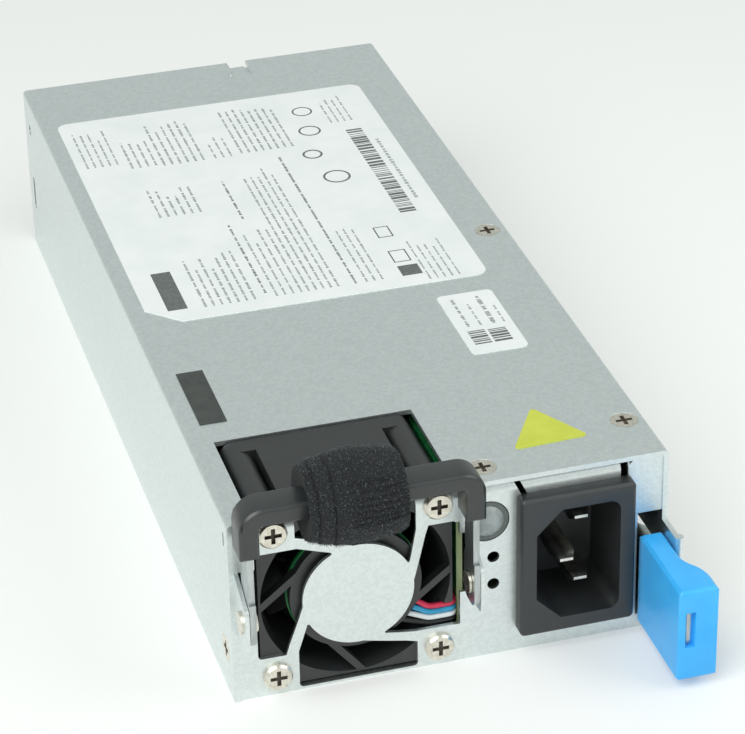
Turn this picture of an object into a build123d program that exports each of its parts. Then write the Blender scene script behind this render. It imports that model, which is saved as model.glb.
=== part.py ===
from build123d import *
import os

os.makedirs("parts", exist_ok=True)

# Millimetres. The front with the fan and the inlet faces -Y, the edge connector faces +Y,
# and the origin is the middle of the underside of the case.

# Case
case_width = 86.4
case_height = 39.6
case_length = 199.0
cover_sheet = 1.0
tray_sheet = 0.6
plate_sheet = 0.8
panel_sheet = 0.8
plate_setback = 0.4
cover_bend = 1.0
tray_flange_height = 9.0

left = -case_width / 2
right = case_width / 2
front = -case_length / 2
rear = case_length / 2
inner_left = left + cover_sheet
inner_right = right - cover_sheet
inner_top = case_height - cover_sheet
plate_front = front + plate_setback
plate_back = plate_front + plate_sheet

# Clearances
seat_gap = 0.05
side_gap = 0.1
running_gap = 0.06
blade_gap = 0.5

# Fan, seen from the front
fan_size = 38.0
fan_depth = 28.0
fan_from_left = 24.6
fan_lift = 0.6
fan_hole_pitch = 32.0
fan_flange = 3.2
fan_corner = 3.0
fan_post_radius = 3.0
fan_bore_radius = 17.8
fan_mouth_radius = 18.6
fan_side_width = 25.0
fan_base_radius = 12.9
fan_base_thickness = 2.0
fan_strut_width = 1.4
fan_strut_length = 10.4
fan_strut_angle = 38.7
fan_strut_out = 15.0
fan_strut_up = 2.15
fan_hub_radius = 11.6
fan_hub_wall = 1.2
fan_blades = 7
fan_shaft_radius = 1.5
fan_bearing_radius = 3.4
fan_x = left + fan_from_left
fan_z = tray_sheet + fan_lift + fan_size / 2
fan_front = plate_back
fan_rear = fan_front + fan_depth

# Motor board on the back of the fan's motor base
motor_board_radius = 13.2
motor_board_sheet = 0.8

# Fan window in the cover
window_side_gap = 0.7
window_rear_gap = 0.4
window_width = fan_size + 2 * window_side_gap
window_length = fan_rear - front + window_rear_gap

# Fan guard in the front plate
guard_disc_radius = 10.9
guard_reach = 19.6
guard_pad = 11.7
guard_arm_spread = 14.1
guard_corner = 0.8
guard_tip = 0.3
guard_dish = 1.0
guard_dish_radius = 16.4
guard_tip_side = 4.43
guard_arm_drop = 0.8
board_view_right = 44.85
board_view_low = 8.4
board_view_high = 31.6

# Handle
bail_from_left = 1.9
bail_span = 44.4
bail_strip = 1.2
bail_leg_depth = 5.2
bail_eye_depth = 6.4
bail_eye_corner = 2.2
bail_eye_rise = 5.3
bail_drop = 4.4
pivot_forward = 4.6
pivot_height = 21.3
grip_top = 47.0
grip_thickness = 3.8
grip_depth = 6.8
grip_foot = 36.4
grip_outer_radius = 4.6
grip_inner_radius = 1.0
grip_edge = 0.6
bail_left = left + bail_from_left
bail_right = bail_left + bail_span
bail_x = (bail_left + bail_right) / 2
pivot_y = front - pivot_forward
grip_bar_z = grip_top - grip_thickness / 2

# Ears that hold the handle, bent forward out of the front plate
ear_reach = 7.8
ear_bottom = 15.6
ear_root_top = 28.9
ear_tip_top = 25.0
ear_corner = 1.5
ear_blank = 4.2

# Rivets
rivet_radius = 1.5
rivet_head_radius = 2.2
rivet_head = 0.5

# Strap rolled round the grip
strap_width = 18.8
strap_shift = -1.7
strap_left_radius = 5.8
strap_right_radius = 6.6
strap_middle_radius = 8.6
strap_shoulder = 4.5
strap_clearance = 0.3

# Appliance inlet
inlet_from_left = 67.6
inlet_z = 19.9
bezel_width = 23.0
bezel_height = 30.8
bezel_reach = 2.6
bezel_corner = 1.0
bezel_edge = 0.5
inlet_body_width = 20.0
inlet_body_height = 27.4
inlet_body_depth = 22.0
socket_width = 16.8
socket_height = 24.4
socket_depth = 16.5
socket_chamfer = 5.0
socket_corner = 2.2
blade_width = 4.0
blade_thickness = 2.0
blade_offset = 2.0
blade_pitch = 14.0
blade_recess = 4.4
blade_bevel = 0.7
blade_bevel_length = 1.5
earth_lead = 3.2
blade_tail = 6.0
inlet_x = left + inlet_from_left
bezel_face = front - bezel_reach
socket_floor = bezel_face + socket_depth
inlet_back = plate_front + inlet_body_depth

# Status light and test holes
light_from_left = 50.3
light_z = 30.5
light_hole_radius = 4.4
light_collar_radius = 4.2
light_collar = 1.2
light_radius = 3.25
light_proud = 1.0
light_stem = 7.0
test_hole_radius = 1.2
test_hole_from_left = 51.5
test_hole_low = 16.2
test_hole_high = 22.3
light_x = left + light_from_left

# Latch
latch_slot_from_right = 5.4
latch_slot_low = 3.0
latch_slot_high = 26.3
leaf_sheet = 0.8
leaf_height = 7.3
leaf_z = 13.55
leaf_run_from_right = 3.9
leaf_anchor = 50.0
leaf_bend_rear = 40.0
leaf_bend_front = 24.0
leaf_tip = 21.0
catch_front = 6.5
catch_rear = 14.0
catch_flat = 1.5
catch_proud = 0.9
catch_height = 6.0
catch_window_margin = 1.0
cap_from_right = 5.9
cap_rear_width = 4.6
cap_front_width = 7.8
cap_length = 21.2
cap_start = 1.0
cap_bottom = 2.2
cap_top = 22.4
cap_waist = 8.0
cap_slot_width = 2.0
cap_slot_height = 7.8
cap_slot_depth = 1.5
cap_edge = 0.6
cap_corner = 3.2
leaf_x = right - leaf_run_from_right
cap_x = right - cap_from_right
latch_slot_left = right - latch_slot_from_right

# Tongue of the right wall that guards the latch
tongue_reach = 6.6
tongue_low = 4.0
tongue_high = 24.2
tongue_roll = 0.9

# Screws
flat_head_radius = 2.7
flat_head_depth = 0.95
flat_shank_radius = 1.45
flat_screw_length = 4.0
fan_head_radius = 2.85
fan_head_height = 1.1
fan_head_edge = 0.4
fan_shank_radius = 1.35
fan_screw_length = 8.0
cross_width = 0.8
cross_span = 3.3
cross_depth = 0.7
board_head_radius = 2.8
board_head_height = 1.7

# Main board
board_sheet = 1.6
board_height = 4.0
board_front_gap = 2.8
board_margin = 2.4
board_tongue = 9.0
board_tongue_width = 44.0
board_notch = 60.0
board_notch_width = 7.5
insulator_thickness = 0.4
standoff_radius = 3.0
board_left = inner_left + board_margin
board_right = inner_right - board_margin
board_front = fan_rear + board_front_gap
board_rear = rear - board_margin
board_top = board_height + board_sheet

# Small board beside the fan
light_board_sheet = 1.2
light_board_from_left = 45.1
light_board_start = 3.5
light_board_end = 44.0
light_board_top = 35.0
light_board_x = left + light_board_from_left

# Input side of the board: places from the left wall and from the front
fuse_from_left = 74.0
fuse_from_front = 50.0
fuse_radius = 2.6
fuse_length = 20.0
fuse_lift = 0.6
fuse_clip = 3.0
x_cap_from_left = 59.0
x_cap_from_front = 52.0
x_cap_width = 18.0
x_cap_length = 9.0
x_cap_height = 17.0
choke_from_left = 21.0
choke_from_front = 46.0
choke_outer = 11.5
choke_inner = 6.0
choke_thickness = 9.0
choke_turns = 9
boost_from_left = 66.0
boost_from_front = 92.0
boost_outer = 13.5
boost_inner = 7.0
boost_thickness = 11.0
boost_turns = 10
turn_wire = 1.2
rectifier_sink_from_left = 10.0
rectifier_sink_from_front = 66.0
rectifier_sink_width = 56.0
rectifier_sink_sheet = 2.0
rectifier_sink_height = 26.0
fin_sheet = 1.2
fin_depth = 4.5
fin_pitch = 6.0
rectifier_from_left = 46.0
rectifier_width = 25.0
rectifier_depth = 4.0
rectifier_height = 16.0
rectifier_leg = 3.0

# Primary side
bulk_from_left = 20.0
bulk_from_front = 78.0
bulk_radius = 14.0
bulk_length = 48.0
bulk_lift = 0.2
bulk_groove = 4.0
switch_sink_from_left = 44.0
switch_sink_from_front = 105.0
switch_sink_sheet = 2.4
switch_sink_length = 54.0
switch_sink_height = 28.0
switch_fin_depth = 4.7
switch_fin_pitch = 8.6
transistor_depth = 5.2
transistor_width = 10.0
transistor_height = 15.0
transistor_leg = 4.0
transistor_pitch = 13.0
transistors_from_front = 96.0

# Output side
core_from_left = 62.0
core_from_front = 134.0
core_width = 33.0
core_length = 27.0
core_height = 26.0
core_window = 6.5
core_yoke = 5.0
bobbin_overhang = 6.0
output_cap_from_left = 31.0
output_cap_from_front = 169.0
output_cap_radius = 5.0
output_cap_height = 15.0
output_cap_pitch = 12.0
busbar_from_left = 54.0
busbar_from_front = 174.0
busbar_length = 34.0
busbar_height = 14.0
busbar_foot = 12.0
busbar_sheet = 1.8
control_from_left = 80.0
control_from_front = 150.0
control_length = 62.0
control_height = 24.0
control_sheet = 1.2
chip_length = 7.0
chip_height = 5.0
chip_sheet = 1.4

# Labels
label_thickness = 0.15

# Notch in the cover's rear edge
rear_notch_from_left = 49.7
rear_notch_width = 4.5
rear_notch_depth = 7.6
rear_notch_relief = 1.3

# Hole, slot and mark in the left wall
wall_hole_from_rear = 6.0
wall_hole_z = 32.1
wall_hole_radius = 1.2
wall_slot_from_rear = 5.7
wall_slot_z = 15.4
wall_slot_length = 8.2
wall_slot_width = 1.8
wall_mark_from_front = 3.1
wall_mark_z = 35.0
wall_mark_width = 0.9
wall_mark_height = 2.8


# Plane facing the front at depth y, with x to the right and z up
def upright(y):
    return Plane.XZ.offset(-y)


# Plane facing right at x, with y to the rear and z up
def sideways(x):
    return Plane.YZ.offset(x)


# Plane facing up at height z
def level(z):
    return Plane.XY.offset(z)


# Screws, drawn with the head's face at the origin and the shank pointing down
with BuildPart() as flat_screw:
    with BuildSketch(Plane.XZ):
        with BuildLine():
            Polyline(
                (0, 0),
                (flat_head_radius, 0),
                (flat_head_radius - flat_head_depth, -flat_head_depth),
                (flat_shank_radius, -flat_head_depth),
                (flat_shank_radius, -flat_screw_length),
                (0, -flat_screw_length),
                close=True,
            )
        make_face()
    revolve(axis=Axis.Z)
    with BuildSketch(Plane.XY):
        Rectangle(cross_span, cross_width)
        Rectangle(cross_width, cross_span)
    extrude(amount=-cross_depth, mode=Mode.SUBTRACT)

with BuildPart() as fan_screw:
    with BuildSketch(Plane.XZ):
        with BuildLine():
            Polyline(
                (0, fan_head_height),
                (fan_head_radius - fan_head_edge, fan_head_height),
                (fan_head_radius, fan_head_height - fan_head_edge),
                (fan_head_radius, 0),
                (fan_shank_radius, 0),
                (fan_shank_radius, -fan_screw_length),
                (0, -fan_screw_length),
                close=True,
            )
        make_face()
    revolve(axis=Axis.Z)
    with BuildSketch(level(fan_head_height)):
        Rectangle(cross_span, cross_width)
        Rectangle(cross_width, cross_span)
    extrude(amount=-cross_depth, mode=Mode.SUBTRACT)

# Places of the flat screws: three in the top and one in the left wall
rear_screw_x = right - 4.5
rear_screw_y = front + 96.5
corner_screw_x = right - 4.3
corner_screw_y = front + 13.0
middle_screw_x = left + 50.9
middle_screw_y = front + 5.2
side_screw_y = front + 5.5
side_screw_z = 9.0
top_screws = [
    (rear_screw_x, rear_screw_y),
    (corner_screw_x, corner_screw_y),
    (middle_screw_x, middle_screw_y),
]
side_screw_plane = Plane(origin=(left, side_screw_y, side_screw_z), x_dir=(0, 1, 0), z_dir=(-1, 0, 0))
fan_screw_plane = Plane(origin=(fan_x, plate_front, fan_z), x_dir=(1, 0, 0), z_dir=(0, -1, 0))

# Cover
with BuildPart() as top_cover:
    with BuildSketch(upright(front)):
        with Locations((0, case_height / 2)):
            Rectangle(case_width, case_height)
        with Locations((0, inner_top / 2)):
            Rectangle(case_width - 2 * cover_sheet, inner_top, mode=Mode.SUBTRACT)
    extrude(amount=-case_length)
    fillet(top_cover.edges().filter_by(Axis.Y).group_by(Axis.Z)[-1], radius=cover_bend)
    # Window over the fan, open at the front
    with BuildSketch(level(case_height)):
        with Locations((fan_x, front + window_length / 2)):
            Rectangle(window_width, window_length)
    extrude(amount=-2 * cover_sheet, mode=Mode.SUBTRACT)
    # Notch in the rear edge, with a round relief in its inner corner
    with BuildSketch(level(case_height)):
        with Locations((left + rear_notch_from_left + rear_notch_width / 2, rear - rear_notch_depth / 2)):
            Rectangle(rear_notch_width, rear_notch_depth)
        with Locations((left + rear_notch_from_left, rear - rear_notch_depth + 0.6)):
            Circle(rear_notch_relief)
    extrude(amount=-2 * cover_sheet, mode=Mode.SUBTRACT)
    # Screw dimples
    with Locations(level(case_height)):
        with Locations(*top_screws):
            CounterSinkHole(
                flat_shank_radius + seat_gap,
                flat_head_radius + seat_gap,
                depth=2 * cover_sheet,
                counter_sink_angle=90,
            )
    with Locations(side_screw_plane):
        CounterSinkHole(
            flat_shank_radius + seat_gap,
            flat_head_radius + seat_gap,
            depth=2 * cover_sheet,
            counter_sink_angle=90,
        )
    # Hole and slots in the left wall
    with BuildSketch(sideways(left)):
        with Locations((rear - wall_hole_from_rear, wall_hole_z)):
            Circle(wall_hole_radius)
        with Locations((rear - wall_slot_from_rear, wall_slot_z)):
            SlotOverall(wall_slot_length, wall_slot_width, rotation=90)
        with Locations((front + wall_mark_from_front, wall_mark_z)):
            Rectangle(wall_mark_width, wall_mark_height)
    extrude(amount=2 * cover_sheet, mode=Mode.SUBTRACT)
    # Window in the right wall for the catch
    with BuildSketch(sideways(right)):
        with Locations((front + (catch_front + catch_rear) / 2, leaf_z)):
            Rectangle(
                catch_rear - catch_front + 2 * catch_window_margin,
                catch_height + 2 * catch_window_margin,
            )
    extrude(amount=-2 * cover_sheet, mode=Mode.SUBTRACT)
    # Tongue beside the latch, its front end rolled
    with BuildSketch(level(tongue_low)):
        with Locations((right - cover_sheet / 2, front - (tongue_reach - 0.5) / 2)):
            Rectangle(cover_sheet, tongue_reach + 0.5)
        with Locations((right - cover_sheet + tongue_roll, front - tongue_reach)):
            Circle(tongue_roll)
    extrude(amount=tongue_high - tongue_low)
    top_cover.part.label = "top_cover"
export_step(top_cover.part, "parts/top_cover.step")

# Tray
tray_lip_depth = 9.0
tray_lip_length = 10.0
with BuildPart() as base_tray:
    with BuildSketch(level(0)):
        with Locations((0, (plate_front + rear) / 2)):
            Rectangle(case_width - 2 * cover_sheet, rear - plate_front)
    extrude(amount=tray_sheet)
    # Side flanges, the right one starts behind the latch
    with BuildSketch(upright(rear)):
        with Locations((inner_left + tray_sheet / 2, tray_flange_height / 2)):
            Rectangle(tray_sheet, tray_flange_height)
    extrude(amount=rear - board_front)
    with BuildSketch(upright(rear)):
        with Locations((inner_right - tray_sheet / 2, tray_flange_height / 2)):
            Rectangle(tray_sheet, tray_flange_height)
    extrude(amount=case_length - board_notch)
    # Tab up to the rear cover screw, with a lip under the cover
    with BuildSketch(upright(rear_screw_y + tray_lip_length / 2)):
        with Locations((inner_right - tray_sheet / 2, inner_top / 2)):
            Rectangle(tray_sheet, inner_top)
        with Locations((inner_right - tray_lip_depth / 2, inner_top - tray_sheet / 2)):
            Rectangle(tray_lip_depth, tray_sheet)
    extrude(amount=tray_lip_length)
    with Locations(level(inner_top)):
        with Locations((rear_screw_x, rear_screw_y)):
            Hole(flat_shank_radius + seat_gap, depth=2 * tray_sheet)
    base_tray.part.label = "base_tray"
export_step(base_tray.part, "parts/base_tray.step")

# One sector of the fan guard, about the middle of the fan
with BuildSketch() as guard_sector:
    with BuildLine():
        tip = (-guard_tip_side, (guard_disc_radius**2 - guard_tip_side**2) ** 0.5)
        start = (-(guard_disc_radius**2 - guard_arm_drop**2) ** 0.5, -guard_arm_drop)
        Polyline((-guard_reach, guard_pad), (-guard_pad + 0.3, guard_pad), tip)
        ThreePointArc(tip, (-guard_disc_radius * 0.87, guard_disc_radius * 0.493), start)
        Polyline(start, (-guard_arm_spread, -guard_pad), (-guard_reach, -guard_pad), (-guard_reach, guard_pad))
    make_face()
    fillet(guard_sector.vertices().group_by(Axis.X)[0], radius=guard_corner)
    fillet(guard_sector.vertices().group_by(Axis.X)[-1], radius=guard_tip)

# Front plate
lip_left = 56.6
lip_right = 76.9
lip_radius = 2.2
lip_notch = 1.5
top_flange_length = 16.0
tab_corner = 2.0
side_flange_length = 12.0
with BuildPart() as front_plate:
    with BuildSketch(upright(plate_front)):
        with Locations((0, (tray_sheet + inner_top) / 2)):
            Rectangle(case_width - 2 * cover_sheet, inner_top - tray_sheet)
    extrude(amount=-plate_sheet)
    # Flange under the cover, right of the fan
    with BuildSketch(level(inner_top)):
        with Locations(((light_board_x + inner_right) / 2, plate_front + top_flange_length / 2)):
            Rectangle(inner_right - light_board_x, top_flange_length)
    extrude(amount=-plate_sheet)
    inner_bend = (
        front_plate.edges()
        .filter_by(Axis.X)
        .filter_by_position(Axis.Z, inner_top - plate_sheet - 0.01, inner_top - plate_sheet + 0.01)
        .filter_by_position(Axis.Y, plate_back - 0.01, plate_back + 0.01)
    )
    fillet(inner_bend, radius=lip_radius - plate_sheet)
    outer_bend = (
        front_plate.edges()
        .filter_by(Axis.X)
        .filter_by_position(Axis.Z, inner_top - 0.01, inner_top + 0.01)
        .filter_by_position(Axis.Y, plate_front - 0.01, plate_front + 0.01)
    )
    fillet(outer_bend, radius=lip_radius)
    # Flange inside the left wall, and the flat tab right of the inlet
    with BuildSketch(sideways(inner_left)):
        with Locations((plate_front + side_flange_length / 2, (tray_sheet + inner_top) / 2)):
            Rectangle(side_flange_length, inner_top - tray_sheet)
    extrude(amount=plate_sheet)
    with BuildSketch(upright(plate_front)):
        with BuildLine():
            FilletPolyline(
                (left + lip_right + lip_notch, latch_slot_high),
                (left + lip_right + lip_notch, inner_top),
                (inner_right, inner_top),
                radius=tab_corner,
            )
            Line((inner_right, inner_top), (inner_right, latch_slot_high))
            Line((inner_right, latch_slot_high), (left + lip_right + lip_notch, latch_slot_high))
        make_face()
    extrude(amount=-plate_sheet)
    # Middle of the fan guard, dished forward
    with BuildSketch(upright(plate_front)):
        with Locations((fan_x, fan_z)):
            Circle(guard_dish_radius)
    extrude(amount=-plate_sheet, mode=Mode.SUBTRACT)
    with BuildSketch(Plane(origin=(fan_x, plate_front, fan_z), x_dir=(1, 0, 0), z_dir=(0, 0, 1))):
        with BuildLine():
            Polyline(
                (0, -guard_dish),
                (guard_disc_radius, -guard_dish),
                (guard_dish_radius, 0),
                (guard_dish_radius, plate_sheet),
                (guard_disc_radius, plate_sheet - guard_dish),
                (0, plate_sheet - guard_dish),
                close=True,
            )
        make_face()
    revolve(axis=Axis((fan_x, plate_front, fan_z), (0, 1, 0)))
    # Ears, bent forward out of the plate
    with BuildSketch(sideways(inner_left)) as ear:
        with BuildLine():
            Polyline(
                (plate_back, ear_bottom),
                (plate_back, ear_root_top),
                (front, ear_root_top),
                (front - ear_reach, ear_tip_top),
                (front - ear_reach, ear_bottom),
                close=True,
            )
        make_face()
        fillet(ear.vertices().group_by(Axis.X)[0], radius=ear_corner)
    extrude(amount=plate_sheet)
    with BuildSketch(sideways(bail_right + side_gap)):
        add(ear.sketch_local)
    extrude(amount=plate_sheet)
    # Openings of the fan guard
    with BuildSketch(upright(plate_front - guard_dish)):
        with Locations((fan_x, fan_z)):
            with PolarLocations(0, 4):
                add(guard_sector.sketch)
    extrude(amount=-(guard_dish + 2 * plate_sheet), mode=Mode.SUBTRACT)
    with BuildSketch(upright(plate_front)):
        # Strip beside the fan, through which the small board shows
        with Locations((
            (fan_x + fan_size / 2 + left + board_view_right) / 2,
            (board_view_low + board_view_high) / 2,
        )):
            Rectangle(left + board_view_right - fan_x - fan_size / 2, board_view_high - board_view_low)
        # Room left by the blanks of the ears
        with Locations(
            (inner_left + plate_sheet + ear_blank / 2, (ear_bottom + ear_root_top) / 2),
            (bail_right + side_gap - ear_blank / 2, (ear_bottom + ear_root_top) / 2),
        ):
            Rectangle(ear_blank, ear_root_top - ear_bottom)
        # Light, test holes, inlet and latch
        with Locations((light_x, light_z)):
            Circle(light_hole_radius)
        with Locations((left + test_hole_from_left, test_hole_low), (left + test_hole_from_left, test_hole_high)):
            Circle(test_hole_radius)
        with Locations((inlet_x, inlet_z)):
            Rectangle(inlet_body_width + 2 * side_gap, inlet_body_height + 2 * side_gap)
        with Locations((
            (latch_slot_left + inner_right) / 2,
            (latch_slot_low + latch_slot_high) / 2,
        )):
            Rectangle(inner_right - latch_slot_left + 1, latch_slot_high - latch_slot_low)
    extrude(amount=-2 * plate_sheet, mode=Mode.SUBTRACT)
    # Notches each side of the rolled lip over the inlet
    with BuildSketch(upright(plate_front)):
        with BuildLine():
            Polyline(
                (left + lip_left - 1.2, inner_top),
                (left + lip_left, inner_top),
                (left + lip_left + 2.4, inlet_z + inlet_body_height / 2),
                (left + lip_left + 1.2, inlet_z + inlet_body_height / 2),
                close=True,
            )
        make_face()
        with Locations((left + lip_right + lip_notch / 2, inner_top - 1.5)):
            Rectangle(lip_notch, 5.0)
    extrude(amount=-1.5 * lip_radius, mode=Mode.SUBTRACT)
    # Holes for the fan screws, the cover screws and the handle's rivets
    with Locations(fan_screw_plane):
        with GridLocations(fan_hole_pitch, fan_hole_pitch, 2, 2):
            Hole(fan_shank_radius + seat_gap, depth=2 * plate_sheet)
    with Locations(level(inner_top)):
        with Locations((corner_screw_x, corner_screw_y), (middle_screw_x, middle_screw_y)):
            Hole(flat_shank_radius + seat_gap, depth=2 * plate_sheet)
    with BuildSketch(sideways(inner_left)):
        with Locations((side_screw_y, side_screw_z)):
            Circle(flat_shank_radius + seat_gap)
        with Locations((pivot_y, pivot_height)):
            Circle(rivet_radius + seat_gap)
    extrude(amount=bail_right - inner_left + 2 * plate_sheet, mode=Mode.SUBTRACT)
    front_plate.part.label = "front_plate"
export_step(front_plate.part, "parts/front_plate.step")

# Rear panel with air holes and the opening for the edge connector
air_hole_radius = 2.8
air_hole_pitch = 6.4
panel_slot_top = 9.4
panel_flange = 8.0
panel_back = rear - 1.0
with BuildPart() as rear_panel:
    with BuildSketch(upright(panel_back)):
        with Locations((0, (tray_sheet + inner_top) / 2)):
            Rectangle(case_width - 2 * cover_sheet - 2 * tray_sheet, inner_top - tray_sheet)
        with Locations((0, 25.0)):
            with HexLocations(air_hole_pitch / 2, 11, 4):
                RegularPolygon(air_hole_radius, 6, rotation=30, mode=Mode.SUBTRACT)
        with Locations((0, (tray_sheet + panel_slot_top) / 2)):
            Rectangle(board_tongue_width + 4, panel_slot_top - tray_sheet, mode=Mode.SUBTRACT)
    extrude(amount=panel_sheet)
    with BuildSketch(level(inner_top)):
        with Locations((0, panel_back - panel_sheet - panel_flange / 2)):
            Rectangle(case_width - 4 * cover_sheet, panel_flange)
    extrude(amount=-panel_sheet)
    rear_panel.part.label = "rear_panel"
export_step(rear_panel.part, "parts/rear_panel.step")

# Fan housing: two square flanges, a round duct, four corner posts, and the motor base on struts
wire_radius = 0.55
wire_pitch = 1.25
wire_top = -8.0
wire_depth = 1.2
wire_gap_x = left + 44.5
wire_count = 4
wire_y = fan_front + wire_depth
with BuildPart() as fan_frame:
    with BuildSketch(upright(fan_front)):
        with Locations((fan_x, fan_z)):
            RectangleRounded(fan_size, fan_size, fan_corner)
    extrude(amount=-fan_flange)
    with BuildSketch(upright(fan_rear)):
        with Locations((fan_x, fan_z)):
            RectangleRounded(fan_size, fan_size, fan_corner)
    extrude(amount=fan_flange + 0.8)
    with BuildSketch(upright(fan_front)):
        with Locations((fan_x, fan_z)):
            Circle(fan_size / 2)
            Rectangle(fan_side_width, fan_size)
            Rectangle(fan_size, fan_side_width)
            with GridLocations(fan_hole_pitch, fan_hole_pitch, 2, 2):
                Circle(fan_post_radius)
    extrude(amount=-fan_depth)
    with BuildSketch(upright(fan_front)):
        with Locations((fan_x, fan_z)):
            Circle(fan_bore_radius)
    extrude(amount=-fan_depth, mode=Mode.SUBTRACT)
    # Flared mouth
    with BuildSketch(Plane(origin=(fan_x, fan_front, fan_z), x_dir=(1, 0, 0), z_dir=(0, 0, 1))):
        with BuildLine():
            Polyline((0, 0), (fan_mouth_radius, 0), (fan_bore_radius, fan_flange), (0, fan_flange), close=True)
        make_face()
    revolve(axis=Axis((fan_x, fan_front, fan_z), (0, 1, 0)), mode=Mode.SUBTRACT)
    # Motor base and its four slanting struts
    with BuildSketch(upright(fan_front)):
        with Locations((fan_x, fan_z)):
            Circle(fan_base_radius)
            with PolarLocations(0, 4):
                with Locations((-fan_strut_out, fan_strut_up)):
                    Rectangle(fan_strut_length, fan_strut_width, rotation=fan_strut_angle)
            RectangleRounded(fan_size, fan_size, fan_corner, mode=Mode.INTERSECT)
    extrude(amount=-fan_base_thickness)
    # Bearing tube
    with BuildSketch(upright(fan_front)):
        with Locations((fan_x, fan_z)):
            Circle(fan_bearing_radius)
    extrude(amount=-(fan_depth - 8))
    with BuildSketch(upright(fan_front + fan_base_thickness / 2)):
        with Locations((fan_x, fan_z)):
            Circle(fan_shaft_radius + running_gap)
    extrude(amount=-fan_depth, mode=Mode.SUBTRACT)
    # Screw holes through the posts
    with Locations(fan_screw_plane):
        with GridLocations(fan_hole_pitch, fan_hole_pitch, 2, 2):
            Hole(fan_shank_radius + seat_gap, depth=2 * fan_depth)
    # Channel for the leads in the front flange
    with BuildSketch(upright(fan_front)):
        with Locations((fan_x + fan_size / 2 - 2.5, fan_z + wire_top - 1.5 * wire_pitch)):
            Rectangle(9.0, wire_count * wire_pitch + 0.8)
    extrude(amount=-(wire_depth + wire_radius + 1.2), mode=Mode.SUBTRACT)
    fan_frame.part.label = "fan_frame"
export_step(fan_frame.part, "parts/fan_frame.step")

# Rotor: a cup with blades, set one gap behind the motor base
rotor_front = fan_front + fan_base_thickness + blade_gap + 1.0
rotor_rear = fan_rear - 3.0
blade_tip_radius = fan_bore_radius - blade_gap
with BuildPart() as fan_rotor:
    with BuildSketch(upright(rotor_front)):
        with Locations((fan_x, fan_z)):
            Circle(fan_hub_radius)
    extrude(amount=-(rotor_rear - rotor_front))
    with BuildSketch(upright(rotor_front)):
        with Locations((fan_x, fan_z)):
            Circle(fan_hub_radius - fan_hub_wall)
    extrude(amount=-(rotor_rear - rotor_front - fan_hub_wall), mode=Mode.SUBTRACT)
    chamfer(fan_rotor.edges().group_by(Axis.Y)[-1], length=0.8)
    # Boss on the shaft
    with BuildSketch(upright(rotor_rear - fan_hub_wall)):
        with Locations((fan_x, fan_z)):
            Circle(fan_bearing_radius)
    extrude(amount=1.5)
    with BuildSketch(upright(rotor_front)):
        with Locations((fan_x, fan_z)):
            Circle(fan_shaft_radius)
    extrude(amount=-(rotor_rear - rotor_front), mode=Mode.SUBTRACT)
    fan_rotor.part.label = "fan_rotor"

# One blade, about the fan's axis, then all of them cut to the tip circle
blade_chord = 15.0
blade_root = 1.2
blade_tip = 0.8
blade_root_angle = 52
blade_tip_angle = 36
with BuildPart() as fan_blade:
    middle = (rotor_front + rotor_rear) / 2
    with BuildSketch(Plane(origin=(fan_x, middle, fan_z + fan_hub_radius - 0.6), z_dir=(0, 0, 1))):
        Rectangle(blade_root, blade_chord, rotation=blade_root_angle - 90)
    with BuildSketch(Plane(origin=(fan_x, middle, fan_z + blade_tip_radius + 1), z_dir=(0, 0, 1))):
        Rectangle(blade_tip, blade_chord, rotation=blade_tip_angle - 90)
    loft()
    with BuildSketch(upright(rotor_front)):
        with Locations((fan_x, fan_z)):
            Circle(blade_tip_radius)
    extrude(amount=-(rotor_rear - rotor_front), mode=Mode.INTERSECT)

fan_axis = Axis((fan_x, 0, fan_z), (0, 1, 0))
with BuildPart() as bladed_rotor:
    add(fan_rotor.part)
    for blade in range(fan_blades):
        add(fan_blade.part.rotate(fan_axis, blade * 360 / fan_blades))
    bladed_rotor.part.label = "fan_rotor"
export_step(bladed_rotor.part, "parts/fan_rotor.step")

# Round circuit board of the motor, on the back of the motor base
with BuildPart() as motor_board:
    with BuildSketch(upright(fan_front + fan_base_thickness)):
        with Locations((fan_x, fan_z)):
            Circle(motor_board_radius)
            Circle(fan_bearing_radius + seat_gap, mode=Mode.SUBTRACT)
    extrude(amount=-motor_board_sheet)
    motor_board.part.label = "motor_board"
export_step(motor_board.part, "parts/motor_board.step")

with BuildPart() as fan_shaft:
    with BuildSketch(upright(fan_front + fan_base_thickness / 2 + 0.3)):
        with Locations((fan_x, fan_z)):
            Circle(fan_shaft_radius)
    extrude(amount=-(rotor_rear - fan_front - fan_base_thickness / 2 - 0.3))
    fan_shaft.part.label = "fan_shaft"
export_step(fan_shaft.part, "parts/fan_shaft.step")

with BuildPart() as fan_screws:
    with Locations(fan_screw_plane):
        with GridLocations(fan_hole_pitch, fan_hole_pitch, 2, 2):
            add(fan_screw.part)
    fan_screws.part.label = "fan_screws"
export_step(fan_screws.part, "parts/fan_screws.step")

with BuildPart() as cover_screws:
    with Locations(level(case_height)):
        with Locations(*top_screws):
            add(flat_screw.part)
    with Locations(side_screw_plane):
        add(flat_screw.part)
    cover_screws.part.label = "cover_screws"
export_step(cover_screws.part, "parts/cover_screws.step")

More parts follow.
